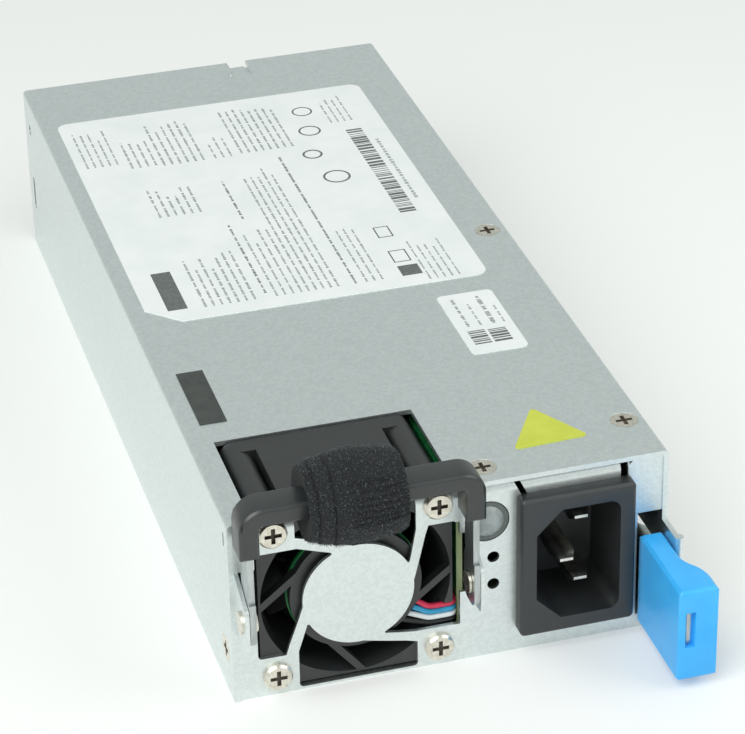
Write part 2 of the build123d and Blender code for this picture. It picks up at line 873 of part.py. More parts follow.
# Fan leads: from the motor base through the channel, then to the rear beside the fan
plug_start = fan_rear + 3.8
plug_length = 7.0
lead_rise = 2.0
lead_reach = 14.6
lead_bend = 3.5
lead_turn = 1.3
lead_colors = ["red", "blue", "white", "black"]
for place, color in enumerate(lead_colors):
    lead_z = fan_z + wire_top - place * wire_pitch
    lead_start = fan_x + (motor_board_radius**2 - (lead_z + lead_rise - fan_z) ** 2) ** 0.5 + 0.3
    with BuildPart() as fan_lead:
        with BuildLine() as route:
            FilletPolyline(
                (lead_start, wire_y, lead_z + lead_rise),
                (fan_x + lead_reach, wire_y, lead_z),
                (wire_gap_x, wire_y, lead_z),
                (wire_gap_x, plug_start, lead_z),
                radius=[lead_bend, lead_turn],
            )
        with BuildSketch(Plane(origin=route.line @ 0, z_dir=route.line % 0)):
            Circle(wire_radius)
        sweep()
        fan_lead.part.label = "fan_wire_" + color
    export_step(fan_lead.part, "parts/fan_wire_" + color + ".step")

plug_height = wire_count * wire_pitch + 1.6
plug_z = fan_z + wire_top - 1.5 * wire_pitch
with BuildPart() as fan_plug:
    with BuildSketch(upright(plug_start)):
        with Locations(((light_board_x + wire_gap_x - 1.4) / 2, plug_z)):
            Rectangle(light_board_x - wire_gap_x + 1.4, plug_height)
    extrude(amount=-plug_length)
    fan_plug.part.label = "fan_plug"
export_step(fan_plug.part, "parts/fan_plug.step")

# Handle: a steel strip bent to a U, with a rounded eye at each end
with BuildPart() as handle_bail:
    with BuildSketch(upright(pivot_y - bail_leg_depth / 2)):
        with BuildLine():
            bail_path = FilletPolyline(
                (bail_left + bail_strip / 2, pivot_height),
                (bail_left + bail_strip / 2, grip_bar_z),
                (bail_right - bail_strip / 2, grip_bar_z),
                (bail_right - bail_strip / 2, pivot_height),
                radius=grip_outer_radius - grip_thickness / 2,
            )
        trace(line_width=bail_strip)
    extrude(amount=-bail_leg_depth)
    # Square off the traced ends, then add the eyes
    with BuildSketch(sideways(bail_left)) as eye:
        with Locations((pivot_y, pivot_height + (bail_eye_rise - bail_drop) / 2)):
            Rectangle(bail_eye_depth, bail_drop + bail_eye_rise)
        fillet(eye.vertices().group_by(Axis.Y)[0], radius=bail_eye_corner)
    extrude(amount=bail_strip)
    with BuildSketch(sideways(bail_right - bail_strip)):
        add(eye.sketch_local)
    extrude(amount=bail_strip)
    with BuildSketch(sideways(bail_left - 1)):
        with Locations((pivot_y, pivot_height)):
            Circle(rivet_radius + running_gap)
    extrude(amount=bail_span + 2, mode=Mode.SUBTRACT)
    handle_bail.part.label = "handle_bail"
export_step(handle_bail.part, "parts/handle_bail.step")

# Grip moulded over the strip
grip_left = bail_left + bail_strip / 2 - grip_thickness / 2
grip_right = bail_right - bail_strip / 2 + grip_thickness / 2
with BuildPart() as handle_grip:
    with BuildSketch(upright(pivot_y - grip_depth / 2)):
        with BuildLine():
            FilletPolyline(
                (grip_left, grip_foot),
                (grip_left, grip_top),
                (grip_right, grip_top),
                (grip_right, grip_foot),
                radius=grip_outer_radius,
            )
            Line((grip_right, grip_foot), (grip_right - grip_thickness, grip_foot))
            FilletPolyline(
                (grip_right - grip_thickness, grip_foot),
                (grip_right - grip_thickness, grip_top - grip_thickness),
                (grip_left + grip_thickness, grip_top - grip_thickness),
                (grip_left + grip_thickness, grip_foot),
                radius=grip_inner_radius,
            )
            Line((grip_left + grip_thickness, grip_foot), (grip_left, grip_foot))
        make_face()
    extrude(amount=-grip_depth)
    chamfer(handle_grip.edges().group_by(Axis.Y)[0], length=grip_edge)
    chamfer(handle_grip.edges().group_by(Axis.Y)[-1], length=grip_edge)
    add(handle_bail.part, mode=Mode.SUBTRACT)
    handle_grip.part.label = "handle_grip"
export_step(handle_grip.part, "parts/handle_grip.step")

# Rivets, fixed in the ears, that the handle's eyes turn on
with BuildPart() as handle_rivets:
    for ear_outer, inward in ((inner_left, 1), (bail_right + side_gap + plate_sheet, -1)):
        with BuildSketch(Plane(origin=(ear_outer - inward * rivet_head, pivot_y, pivot_height), z_dir=(inward, 0, 0))):
            Circle(rivet_head_radius)
        extrude(amount=rivet_head)
        with BuildSketch(Plane(origin=(ear_outer, pivot_y, pivot_height), z_dir=(inward, 0, 0))):
            Circle(rivet_radius)
        extrude(amount=plate_sheet + bail_strip + 3 * side_gap)
        with BuildSketch(
            Plane(
                origin=(ear_outer + inward * (plate_sheet + bail_strip + 2 * side_gap), pivot_y, pivot_height),
                z_dir=(inward, 0, 0),
            )
        ):
            Circle(rivet_head_radius)
        extrude(amount=rivet_head)
    handle_rivets.part.label = "handle_rivets"
export_step(handle_rivets.part, "parts/handle_rivets.step")

# Strap: a soft barrel rolled round the grip's bar, pressed flat where it lies against the fan
strap_x = bail_x + strap_shift
with BuildPart() as strap:
    with BuildSketch(Plane(origin=(strap_x, pivot_y, grip_bar_z), x_dir=(1, 0, 0), z_dir=(0, -1, 0))):
        with BuildLine():
            Polyline(
                (-strap_width / 2, 0),
                (-strap_width / 2, strap_left_radius),
                (-strap_width / 2 + strap_shoulder, strap_middle_radius - 0.3),
                (0, strap_middle_radius),
                (strap_width / 2 - strap_shoulder, strap_middle_radius),
                (strap_width / 2, strap_right_radius),
                (strap_width / 2, 0),
                close=True,
            )
        make_face()
    revolve(axis=Axis((strap_x, pivot_y, grip_bar_z), (1, 0, 0)))
    with BuildSketch(sideways(strap_x - strap_width)):
        with Locations((pivot_y, grip_bar_z)):
            Rectangle(grip_depth + 2 * seat_gap, grip_thickness + 2 * seat_gap)
        with Locations((fan_front - strap_clearance + 5, fan_z + fan_size / 2 + strap_clearance - 10)):
            Rectangle(10, 20)
    extrude(amount=2 * strap_width, mode=Mode.SUBTRACT)
    strap.part.label = "strap"
export_step(strap.part, "parts/strap.step")

# Appliance inlet
with BuildPart() as inlet_housing:
    with BuildSketch(upright(bezel_face)) as bezel:
        with Locations((inlet_x, inlet_z)):
            Rectangle(bezel_width, bezel_height)
        fillet(bezel.vertices(), radius=bezel_corner)
    extrude(amount=-(bezel_reach + plate_setback))
    chamfer(inlet_housing.edges().group_by(Axis.Y)[0], length=bezel_edge)
    with BuildSketch(upright(plate_front)):
        with Locations((inlet_x, inlet_z)):
            Rectangle(inlet_body_width, inlet_body_height)
    extrude(amount=-inlet_body_depth)
    # Socket, its two corners on the earth side cut off
    with BuildSketch(upright(bezel_face)) as socket:
        with Locations((inlet_x, inlet_z)):
            Rectangle(socket_width, socket_height)
        chamfer(socket.vertices().group_by(Axis.X)[0], length=socket_chamfer)
        fillet(socket.vertices().group_by(Axis.X)[-1], radius=socket_corner)
    extrude(amount=-socket_depth, mode=Mode.SUBTRACT)
    # Slots for the blades
    with BuildSketch(upright(socket_floor)):
        with Locations((inlet_x - blade_offset, inlet_z)):
            Rectangle(blade_width, blade_thickness)
        with Locations(
            (inlet_x + blade_offset, inlet_z - blade_pitch / 2),
            (inlet_x + blade_offset, inlet_z + blade_pitch / 2),
        ):
            Rectangle(blade_width, blade_thickness)
    extrude(amount=-inlet_body_depth, mode=Mode.SUBTRACT)
    inlet_housing.part.label = "inlet_housing"
export_step(inlet_housing.part, "parts/inlet_housing.step")

blade_end = inlet_back + blade_tail
with BuildPart() as inlet_pins:
    with BuildSketch(upright(blade_end)):
        with Locations((inlet_x - blade_offset, inlet_z)):
            Rectangle(blade_width, blade_thickness)
    extrude(amount=blade_end - bezel_face - blade_recess + earth_lead)
    with BuildSketch(upright(blade_end)):
        with Locations(
            (inlet_x + blade_offset, inlet_z - blade_pitch / 2),
            (inlet_x + blade_offset, inlet_z + blade_pitch / 2),
        ):
            Rectangle(blade_width, blade_thickness)
    extrude(amount=blade_end - bezel_face - blade_recess)
    for blade_solid in inlet_pins.solids():
        tip_face = blade_solid.faces().sort_by(Axis.Y)[0]
        chamfer(tip_face.edges(), length=blade_bevel, length2=blade_bevel_length, reference=tip_face)
    inlet_pins.part.label = "inlet_pins"
export_step(inlet_pins.part, "parts/inlet_pins.step")

# Mains leads from the inlet's tabs down to the main board
lead_radius = 1.2
inlet_lead_bend = 2.4
inlet_lead_start = 6.0
inlet_lead_step = 3.0
with BuildPart() as inlet_leads:
    for tab_x, tab_z, landing in (
        (inlet_x - blade_offset, inlet_z, inlet_lead_start + inlet_lead_step),
        (inlet_x + blade_offset, inlet_z - blade_pitch / 2, inlet_lead_start),
        (inlet_x + blade_offset, inlet_z + blade_pitch / 2, inlet_lead_start + 2 * inlet_lead_step),
    ):
        with BuildLine() as drop:
            FilletPolyline(
                (tab_x, blade_end, tab_z),
                (tab_x, blade_end + landing, tab_z),
                (tab_x, blade_end + landing, board_top),
                radius=inlet_lead_bend,
            )
        with BuildSketch(Plane(origin=drop.line @ 0, z_dir=drop.line % 0)):
            RegularPolygon(lead_radius, 8)
        sweep()
    inlet_leads.part.label = "inlet_leads"
export_step(inlet_leads.part, "parts/inlet_leads.step")

# Status light: domed lens on a stem that clips to the small board
with BuildPart() as status_light_lens:
    with BuildSketch(Plane(origin=(light_x, front, light_z), x_dir=(1, 0, 0), z_dir=(0, 0, 1))):
        with BuildLine():
            Line((0, -light_proud), (0, light_stem))
            Line((0, light_stem), (light_radius, light_stem))
            Polyline(
                (light_radius, light_stem),
                (light_radius, plate_setback + light_collar),
                (light_collar_radius, plate_setback + light_collar),
                (light_collar_radius, plate_setback),
                (light_radius, plate_setback),
            )
            TangentArc((0, -light_proud), (light_radius, plate_setback), tangent=(1, 0))
        make_face()
    revolve(axis=Axis((light_x, front, light_z), (0, 1, 0)))
    with BuildSketch(sideways(light_board_x + light_board_sheet)):
        with Locations((front + light_stem - 1.5, light_z)):
            Rectangle(3.0, 3.0)
    extrude(amount=light_x - light_board_x - light_board_sheet)
    status_light_lens.part.label = "status_light_lens"
export_step(status_light_lens.part, "parts/status_light_lens.step")

# Latch: spring strip with its catch
with BuildPart() as latch_leaf:
    with BuildSketch(level(leaf_z - leaf_height / 2)):
        with BuildLine():
            Polyline(
                (inner_right, front + leaf_anchor),
                (inner_right, front + leaf_bend_rear),
                (leaf_x + leaf_sheet, front + leaf_bend_front),
                (leaf_x + leaf_sheet, front - leaf_tip),
                (leaf_x, front - leaf_tip),
                (leaf_x, front + leaf_bend_front),
                (inner_right - leaf_sheet, front + leaf_bend_rear),
                (inner_right - leaf_sheet, front + leaf_anchor),
                close=True,
            )
        make_face()
    extrude(amount=leaf_height)
    with BuildSketch(level(leaf_z - catch_height / 2)):
        with BuildLine():
            Polyline(
                (leaf_x + leaf_sheet / 2, front + catch_front),
                (right + catch_proud, front + catch_front),
                (right + catch_proud, front + catch_front + catch_flat),
                (leaf_x + leaf_sheet / 2, front + catch_rear),
                close=True,
            )
        make_face()
    extrude(amount=catch_height)
    latch_leaf.part.label = "latch_leaf"
export_step(latch_leaf.part, "parts/latch_leaf.step")

# Release cap on the strip's end, hollowed for the thumb on its right side
cap_rear_y = front - cap_start
cap_front_y = cap_rear_y - cap_length
cap_land = 4.0
cap_thumb = cap_length - cap_waist - cap_land
with BuildPart() as latch_cap:
    with BuildSketch(level(cap_bottom)) as cap_plan:
        with BuildLine():
            Line((cap_x + cap_rear_width, cap_rear_y), (cap_x + cap_rear_width, cap_rear_y - cap_waist))
            thumb = TangentArc(
                (cap_x + cap_rear_width, cap_rear_y - cap_waist),
                (cap_x + (cap_rear_width + cap_front_width) / 2, cap_front_y + cap_land + cap_thumb / 2),
                tangent=(0, -1),
            )
            TangentArc(
                thumb @ 1,
                (cap_x + cap_front_width, cap_front_y + cap_land),
                tangent=thumb % 1,
            )
            Polyline(
                (cap_x + cap_front_width, cap_front_y + cap_land),
                (cap_x + cap_front_width, cap_front_y),
                (cap_x, cap_front_y),
                (cap_x, cap_rear_y),
                (cap_x + cap_rear_width, cap_rear_y),
            )
        make_face()
        front_corners = cap_plan.vertices().group_by(Axis.Y)[0].sort_by(Axis.X)
        fillet(front_corners[0], radius=cap_edge)
        fillet(front_corners[1], radius=cap_corner)
    extrude(amount=cap_top - cap_bottom)
    chamfer(latch_cap.edges().group_by(Axis.Z)[-1], length=cap_edge)
    chamfer(latch_cap.edges().group_by(Axis.Z)[0], length=cap_edge)
    with BuildSketch(upright(cap_front_y)):
        with Locations((leaf_x + leaf_sheet / 2, leaf_z)):
            Rectangle(cap_slot_width, cap_slot_height)
    extrude(amount=-cap_slot_depth, mode=Mode.SUBTRACT)
    with BuildSketch(upright(cap_front_y)):
        with Locations((leaf_x + leaf_sheet / 2, leaf_z)):
            Rectangle(leaf_sheet + 2 * seat_gap, leaf_height + 2 * seat_gap)
    extrude(amount=-cap_length, mode=Mode.SUBTRACT)
    latch_cap.part.label = "latch_cap"
export_step(latch_cap.part, "parts/latch_cap.step")

# Insulating film on the tray, main board with its tongue, and what holds it
standoff_inset = 5.0
standoffs = [
    (board_left + standoff_inset, board_front + standoff_inset),
    (board_left + standoff_inset, board_rear - standoff_inset),
    (board_right - standoff_inset, front + board_notch + standoff_inset),
    (board_right - standoff_inset, board_rear - standoff_inset),
]
with BuildPart() as insulator_sheet:
    with BuildSketch(level(tray_sheet)):
        with Locations((0, (board_front + board_rear) / 2)):
            Rectangle(board_right - board_left, board_rear - board_front)
        with Locations(*standoffs):
            Circle(standoff_radius + 0.5, mode=Mode.SUBTRACT)
    extrude(amount=insulator_thickness)
    insulator_sheet.part.label = "insulator_sheet"
export_step(insulator_sheet.part, "parts/insulator_sheet.step")

with BuildPart() as main_board:
    with BuildSketch(level(board_height)):
        with Locations((0, (board_front + board_rear) / 2)):
            Rectangle(board_right - board_left, board_rear - board_front)
        with Locations((0, (board_rear + rear + board_tongue) / 2)):
            Rectangle(board_tongue_width, rear + board_tongue - board_rear)
        with Locations((board_right - board_notch_width / 2, (board_front + front + board_notch) / 2)):
            Rectangle(board_notch_width, front + board_notch - board_front, mode=Mode.SUBTRACT)
        # Key slot between the power and the signal contacts
        with Locations((board_tongue_width / 6, rear + board_tongue)):
            Rectangle(1.6, 14.0, mode=Mode.SUBTRACT)
        with Locations(*standoffs):
            Circle(flat_shank_radius + seat_gap, mode=Mode.SUBTRACT)
    extrude(amount=board_sheet)
    chamfer(main_board.edges().group_by(Axis.Y)[-1].filter_by(Axis.X), length=0.4)
    main_board.part.label = "main_board"
export_step(main_board.part, "parts/main_board.step")

contact_thickness = 0.06
contact_length = 6.5
contact_middle = rear + board_tongue - contact_length / 2 - 0.8
power_contact_pitch = 5.2
power_contacts_in = 13.5
signal_contact_pitch = 2.0
signal_contacts_in = 6.6
with BuildPart() as edge_contacts:
    for face_z, side in ((board_top, 1), (board_height, -1)):
        with BuildSketch(level(face_z)):
            with Locations((-board_tongue_width / 2 + power_contacts_in, contact_middle)):
                with GridLocations(power_contact_pitch, 1, 5, 1):
                    Rectangle(power_contact_pitch - 0.8, contact_length)
            with Locations((board_tongue_width / 2 - signal_contacts_in, contact_middle)):
                with GridLocations(signal_contact_pitch, 1, 6, 1):
                    Rectangle(signal_contact_pitch - 0.7, contact_length)
        extrude(amount=side * contact_thickness)
    edge_contacts.part.label = "edge_contacts"
export_step(edge_contacts.part, "parts/edge_contacts.step")

with BuildPart() as board_standoffs:
    with BuildSketch(level(tray_sheet)):
        with Locations(*standoffs):
            RegularPolygon(standoff_radius, 6)
            Circle(flat_shank_radius + seat_gap, mode=Mode.SUBTRACT)
    extrude(amount=board_height - tray_sheet)
    board_standoffs.part.label = "board_standoffs"
export_step(board_standoffs.part, "parts/board_standoffs.step")

with BuildPart() as board_screws:
    with BuildSketch(level(board_top)):
        with Locations(*standoffs):
            Circle(board_head_radius)
    extrude(amount=board_head_height)
    with BuildSketch(level(board_top)):
        with Locations(*standoffs):
            Circle(flat_shank_radius)
    extrude(amount=-(board_sheet + 2.6))
    board_screws.part.label = "board_screws"
export_step(board_screws.part, "parts/board_screws.step")

with BuildPart() as led_board:
    with BuildSketch(sideways(light_board_x)):
        with Locations((front + (light_board_start + light_board_end) / 2, (board_top + light_board_top) / 2)):
            Rectangle(light_board_end - light_board_start, light_board_top - board_top)
    extrude(amount=light_board_sheet)
    led_board.part.label = "led_board"
export_step(led_board.part, "parts/led_board.step")

# Input side
fuse_x = left + fuse_from_left
fuse_y = front + fuse_from_front
with BuildPart() as line_fuse:
    with BuildSketch(upright(fuse_y - fuse_length / 2)):
        with Locations((fuse_x, board_top + fuse_lift + fuse_radius)):
            Circle(fuse_radius)
    extrude(amount=-fuse_length)
    # Clips at its two ends
    with BuildSketch(level(board_top)):
        with Locations((fuse_x, fuse_y)):
            with GridLocations(1, fuse_length - fuse_clip, 1, 2):
                Rectangle(2 * fuse_radius + fuse_lift, fuse_clip)
    extrude(amount=fuse_radius + fuse_lift)
    line_fuse.part.label = "line_fuse"
export_step(line_fuse.part, "parts/line_fuse.step")

with BuildPart() as x_capacitor:
    with BuildSketch(level(board_top)):
        with Locations((left + x_cap_from_left, front + x_cap_from_front)):
            Rectangle(x_cap_width, x_cap_length)
    extrude(amount=x_cap_height)
    x_capacitor.part.label = "x_capacitor"
export_step(x_capacitor.part, "parts/x_capacitor.step")


# Ring core standing on the board, its axis along Y, and the turns of wire round it
def ring_choke(core, winding, x, y, outer, inner, thickness, turns):
    z = board_top + outer
    with BuildPart() as ring:
        with BuildSketch(upright(y - thickness / 2)):
            with Locations((x, z)):
                Circle(outer)
                Circle(inner, mode=Mode.SUBTRACT)
        extrude(amount=-thickness)
        ring.part.label = core
    export_step(ring.part, "parts/" + core + ".step")
    with BuildPart() as turn:
        with BuildSketch(level(0)):
            with Locations(((outer + inner) / 2, 0)):
                Rectangle(outer - inner + 2 * turn_wire, thickness + 2 * turn_wire)
                Rectangle(outer - inner + 2 * seat_gap, thickness + 2 * seat_gap, mode=Mode.SUBTRACT)
        extrude(amount=turn_wire / 2, both=True)
    with BuildPart() as coil:
        for count in range(turns):
            angle = -60 + 120 * count / (turns - 1)
            for side in (0, 180):
                add(turn.part.rotate(Axis.Y, angle + side).moved(Location((x, y, z))))
        coil.part.label = winding
    export_step(coil.part, "parts/" + winding + ".step")


ring_choke(
    "filter_choke",
    "choke_winding",
    left + choke_from_left,
    front + choke_from_front,
    choke_outer,
    choke_inner,
    choke_thickness,
    choke_turns,
)
ring_choke(
    "boost_core",
    "boost_winding",
    left + boost_from_left,
    front + boost_from_front,
    boost_outer,
    boost_inner,
    boost_thickness,
    boost_turns,
)

rectifier_sink_x = left + rectifier_sink_from_left + rectifier_sink_width / 2
rectifier_sink_y = front + rectifier_sink_from_front
with BuildPart() as rectifier_heatsink:
    with BuildSketch(level(board_top)):
        with Locations((rectifier_sink_x, rectifier_sink_y + rectifier_sink_sheet / 2)):
            Rectangle(rectifier_sink_width, rectifier_sink_sheet)
        with Locations((rectifier_sink_x, rectifier_sink_y + rectifier_sink_sheet + fin_depth / 2)):
            with GridLocations(fin_pitch, 1, 8, 1):
                Rectangle(fin_sheet, fin_depth)
    extrude(amount=rectifier_sink_height)
    rectifier_heatsink.part.label = "rectifier_heatsink"
export_step(rectifier_heatsink.part, "parts/rectifier_heatsink.step")

with BuildPart() as rectifier:
    with BuildSketch(level(board_top + rectifier_leg)):
        with Locations((left + rectifier_from_left, rectifier_sink_y - rectifier_depth / 2)):
            Rectangle(rectifier_width, rectifier_depth)
    extrude(amount=rectifier_height)
    with BuildSketch(level(board_top)):
        with Locations((left + rectifier_from_left, rectifier_sink_y - rectifier_depth / 2)):
            with GridLocations(rectifier_width / 4, 1, 4, 1):
                Rectangle(1.2, 0.8)
    extrude(amount=rectifier_leg)
    rectifier.part.label = "rectifier"
export_step(rectifier.part, "parts/rectifier.step")

# Primary side
bulk_x = left + bulk_from_left
bulk_y = front + bulk_from_front
bulk_z = board_top + bulk_lift + bulk_radius
with BuildPart() as bulk_capacitor:
    with BuildSketch(upright(bulk_y)):
        with Locations((bulk_x, bulk_z)):
            Circle(bulk_radius)
    extrude(amount=-bulk_length)
    chamfer(bulk_capacitor.edges().group_by(Axis.Y)[-1], length=1.0)
    # Groove rolled into the can near its plug
    with BuildSketch(upright(bulk_y + bulk_groove)):
        with Locations((bulk_x, bulk_z)):
            Circle(bulk_radius + 1)
            Circle(bulk_radius - 0.7, mode=Mode.SUBTRACT)
    extrude(amount=-1.6, mode=Mode.SUBTRACT)
    bulk_capacitor.part.label = "bulk_capacitor"
export_step(bulk_capacitor.part, "parts/bulk_capacitor.step")

switch_sink_x = left + switch_sink_from_left
switch_sink_y = front + switch_sink_from_front
with BuildPart() as switch_heatsink:
    with BuildSketch(level(board_top)):
        with Locations((switch_sink_x, switch_sink_y)):
            Rectangle(switch_sink_sheet, switch_sink_length)
        with Locations((switch_sink_x - (switch_sink_sheet + switch_fin_depth) / 2, switch_sink_y)):
            with GridLocations(1, switch_fin_pitch, 1, 7):
                Rectangle(switch_fin_depth, fin_sheet)
    extrude(amount=switch_sink_height)
    switch_heatsink.part.label = "switch_heatsink"
export_step(switch_heatsink.part, "parts/switch_heatsink.step")

transistor_x = switch_sink_x + (switch_sink_sheet + transistor_depth) / 2
with BuildPart() as power_transistors:
    with BuildSketch(level(board_top + transistor_leg)):
        with Locations((transistor_x, front + transistors_from_front)):
            with GridLocations(1, transistor_pitch, 1, 3):
                Rectangle(transistor_depth, transistor_width)
    extrude(amount=transistor_height)
    with BuildSketch(level(board_top)):
        with Locations((transistor_x, front + transistors_from_front)):
            with GridLocations(1, transistor_pitch, 1, 3):
                Rectangle(0.8, 0.64 * transistor_width)
    extrude(amount=transistor_leg)
    power_transistors.part.label = "power_transistors"
export_step(power_transistors.part, "parts/power_transistors.step")

# Transformer: ferrite core round a wound bobbin
core_x = left + core_from_left
core_y = front + core_from_front
core_leg = (core_width - 2 * core_window) / 4
with BuildPart() as transformer_core:
    with BuildSketch(upright(core_y - core_length / 2)):
        with Locations((core_x, board_top + core_height / 2)):
            Rectangle(core_width, core_height)
            with GridLocations(core_width - 2 * core_leg - core_window, 1, 2, 1):
                Rectangle(core_window, core_height - 2 * core_yoke, mode=Mode.SUBTRACT)
    extrude(amount=-core_length)
    transformer_core.part.label = "transformer_core"
export_step(transformer_core.part, "parts/transformer_core.step")

with BuildPart() as transformer_bobbin:
    with BuildSketch(level(board_top + core_yoke)):
        with Locations((core_x, core_y)):
            Rectangle(core_width - 2 * core_leg - 0.4, core_length + 2 * bobbin_overhang)
            Rectangle(core_width - 2 * core_leg - 2 * core_window + 0.2, core_length, mode=Mode.SUBTRACT)
    extrude(amount=core_height - 2 * core_yoke)
    chamfer(transformer_bobbin.edges().filter_by(Axis.Z).group_by(Axis.Y)[0], length=3.0)
    chamfer(transformer_bobbin.edges().filter_by(Axis.Z).group_by(Axis.Y)[-1], length=3.0)
    transformer_bobbin.part.label = "transformer_bobbin"
export_step(transformer_bobbin.part, "parts/transformer_bobbin.step")

# Output side
with BuildPart() as output_capacitors:
    with BuildSketch(level(board_top)):
        with Locations((left + output_cap_from_left, front + output_cap_from_front)):
            with GridLocations(output_cap_pitch, output_cap_pitch, 3, 2):
                Circle(output_cap_radius)
    extrude(amount=output_cap_height)
    output_capacitors.part.label = "output_capacitors"
export_step(output_capacitors.part, "parts/output_capacitors.step")

with BuildPart() as output_busbar:
    with BuildSketch(sideways(left + busbar_from_left)):
        with Locations((front + busbar_from_front, board_top + busbar_height / 2)):
            Rectangle(busbar_length, busbar_height)
    extrude(amount=busbar_sheet)
    with BuildSketch(level(board_top)):
        with Locations((left + busbar_from_left + busbar_foot / 2, front + busbar_from_front)):
            Rectangle(busbar_foot, busbar_length)
    extrude(amount=busbar_sheet)
    output_busbar.part.label = "output_busbar"
export_step(output_busbar.part, "parts/output_busbar.step")

with BuildPart() as control_board:
    with BuildSketch(sideways(left + control_from_left)):
        with Locations((front + control_from_front, board_top + control_height / 2)):
            Rectangle(control_length, control_height)
    extrude(amount=control_sheet)
    with BuildSketch(sideways(left + control_from_left)):
        with Locations((front + control_from_front, board_top + control_height / 2)):
            with GridLocations(control_length / 4, control_height / 2.4, 4, 2):
                Rectangle(chip_length, chip_height)
    extrude(amount=-chip_sheet)
    control_board.part.label = "control_board"
export_step(control_board.part, "parts/control_board.step")

# Labels on the top
with BuildPart() as rating_label:
    with BuildSketch(level(case_height)) as rating:
        with Locations((left + 39.9, front + 127.55)):
            Rectangle(72.4, 99.7)
        front_corner = rating.vertices().group_by(Axis.Y)[0].sort_by(Axis.X)[0]
        fillet(rating.vertices() - [front_corner], radius=2.6)
        chamfer(rating.vertices().group_by(Axis.Y)[0].sort_by(Axis.X)[0:1], length=6.6)
    extrude(amount=label_thickness)
    rating_label.part.label = "rating_label"
export_step(rating_label.part, "parts/rating_label.step")

with BuildPart() as part_label:
    with BuildSketch(level(case_height)):
        with Locations((left + 68.25, front + 58.45)):
            RectangleRounded(11.9, 25.1, 1.2)
    extrude(amount=label_thickness)
    part_label.part.label = "part_label"
export_step(part_label.part, "parts/part_label.step")

with BuildPart() as black_label:
    with BuildSketch(level(case_height)):
        with Locations((left + 6.6, front + 46.75)):
            Rectangle(5.4, 20.5)
    extrude(amount=label_thickness)
    black_label.part.label = "black_label"
export_step(black_label.part, "parts/black_label.step")

with BuildPart() as yellow_sticker:
    with BuildSketch(level(case_height)) as sticker:
        with BuildLine():
            Polyline(
                (left + 58.5, front + 9.1),
                (left + 73.8, front + 9.8),
                (left + 66.5, front + 22.8),
                close=True,
            )
        make_face()
        fillet(sticker.vertices(), radius=0.7)
    extrude(amount=label_thickness)
    yellow_sticker.part.label = "yellow_sticker"
export_step(yellow_sticker.part, "parts/yellow_sticker.step")
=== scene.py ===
# Looks of a hot swap server power supply: materials, printed labels, fabric strap, light and camera.
import bpy
import bmesh
import math
import random
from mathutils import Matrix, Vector, noise


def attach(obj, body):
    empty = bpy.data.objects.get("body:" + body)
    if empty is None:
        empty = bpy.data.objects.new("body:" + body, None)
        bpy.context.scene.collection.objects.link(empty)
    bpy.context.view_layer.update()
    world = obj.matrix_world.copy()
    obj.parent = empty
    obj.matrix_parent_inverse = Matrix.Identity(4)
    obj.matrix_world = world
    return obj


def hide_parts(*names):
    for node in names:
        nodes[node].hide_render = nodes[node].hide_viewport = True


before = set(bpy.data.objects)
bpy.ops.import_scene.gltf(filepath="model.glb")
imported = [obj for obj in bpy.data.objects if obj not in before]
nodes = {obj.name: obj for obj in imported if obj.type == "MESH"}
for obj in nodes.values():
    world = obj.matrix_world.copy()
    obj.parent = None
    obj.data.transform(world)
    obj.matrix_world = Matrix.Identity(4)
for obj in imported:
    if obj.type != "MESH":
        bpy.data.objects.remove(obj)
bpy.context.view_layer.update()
mm = 0.001
print("frame loaded:", len(nodes), "nodes")

# The case in millimetres: left wall, front edge and top, as the CAD has them
caseLeft, caseFront, caseTop = -43.2, -99.5, 39.6


# Takes millimetres from the case's left wall, its front edge and its underside, and gives metres
def casePoint(x, y, z):
    return Vector(((caseLeft + x) * mm, (caseFront + y) * mm, z * mm))


# Materials

def linearColour(hexCode):
    channels = [int(hexCode[i:i + 2], 16) / 255 for i in (1, 3, 5)]
    return [c / 12.92 if c <= 0.04045 else ((c + 0.055) / 1.055) ** 2.4 for c in channels] + [1.0]


# Empties the node tree of a material or world
def cleared(owner):
    owner.use_nodes = True
    owner.node_tree.nodes.clear()
    return owner


# Adds a node: settings go to its sockets or its properties, links come from other nodes' outputs
def addNode(material, kind, settings=None, links=None):
    node = material.node_tree.nodes.new(kind)
    for name, value in (settings or {}).items():
        if isinstance(name, int) or name in node.inputs:
            node.inputs[name].default_value = value
        else:
            setattr(node, name, value)
    for name, source in (links or {}).items():
        material.node_tree.links.new(source, node.inputs[name])
    return node


def rampBetween(material, source, lowColour, highColour, lowAt=0.35, highAt=0.65):
    ramp = addNode(material, "ShaderNodeValToRGB", links={"Fac": source})
    ramp.color_ramp.elements[0].position = lowAt
    ramp.color_ramp.elements[0].color = linearColour(lowColour)
    ramp.color_ramp.elements[1].position = highAt
    ramp.color_ramp.elements[1].color = linearColour(highColour)
    return ramp.outputs["Color"]


spangleShare = 0.45  # how much of the pattern the spangle makes up


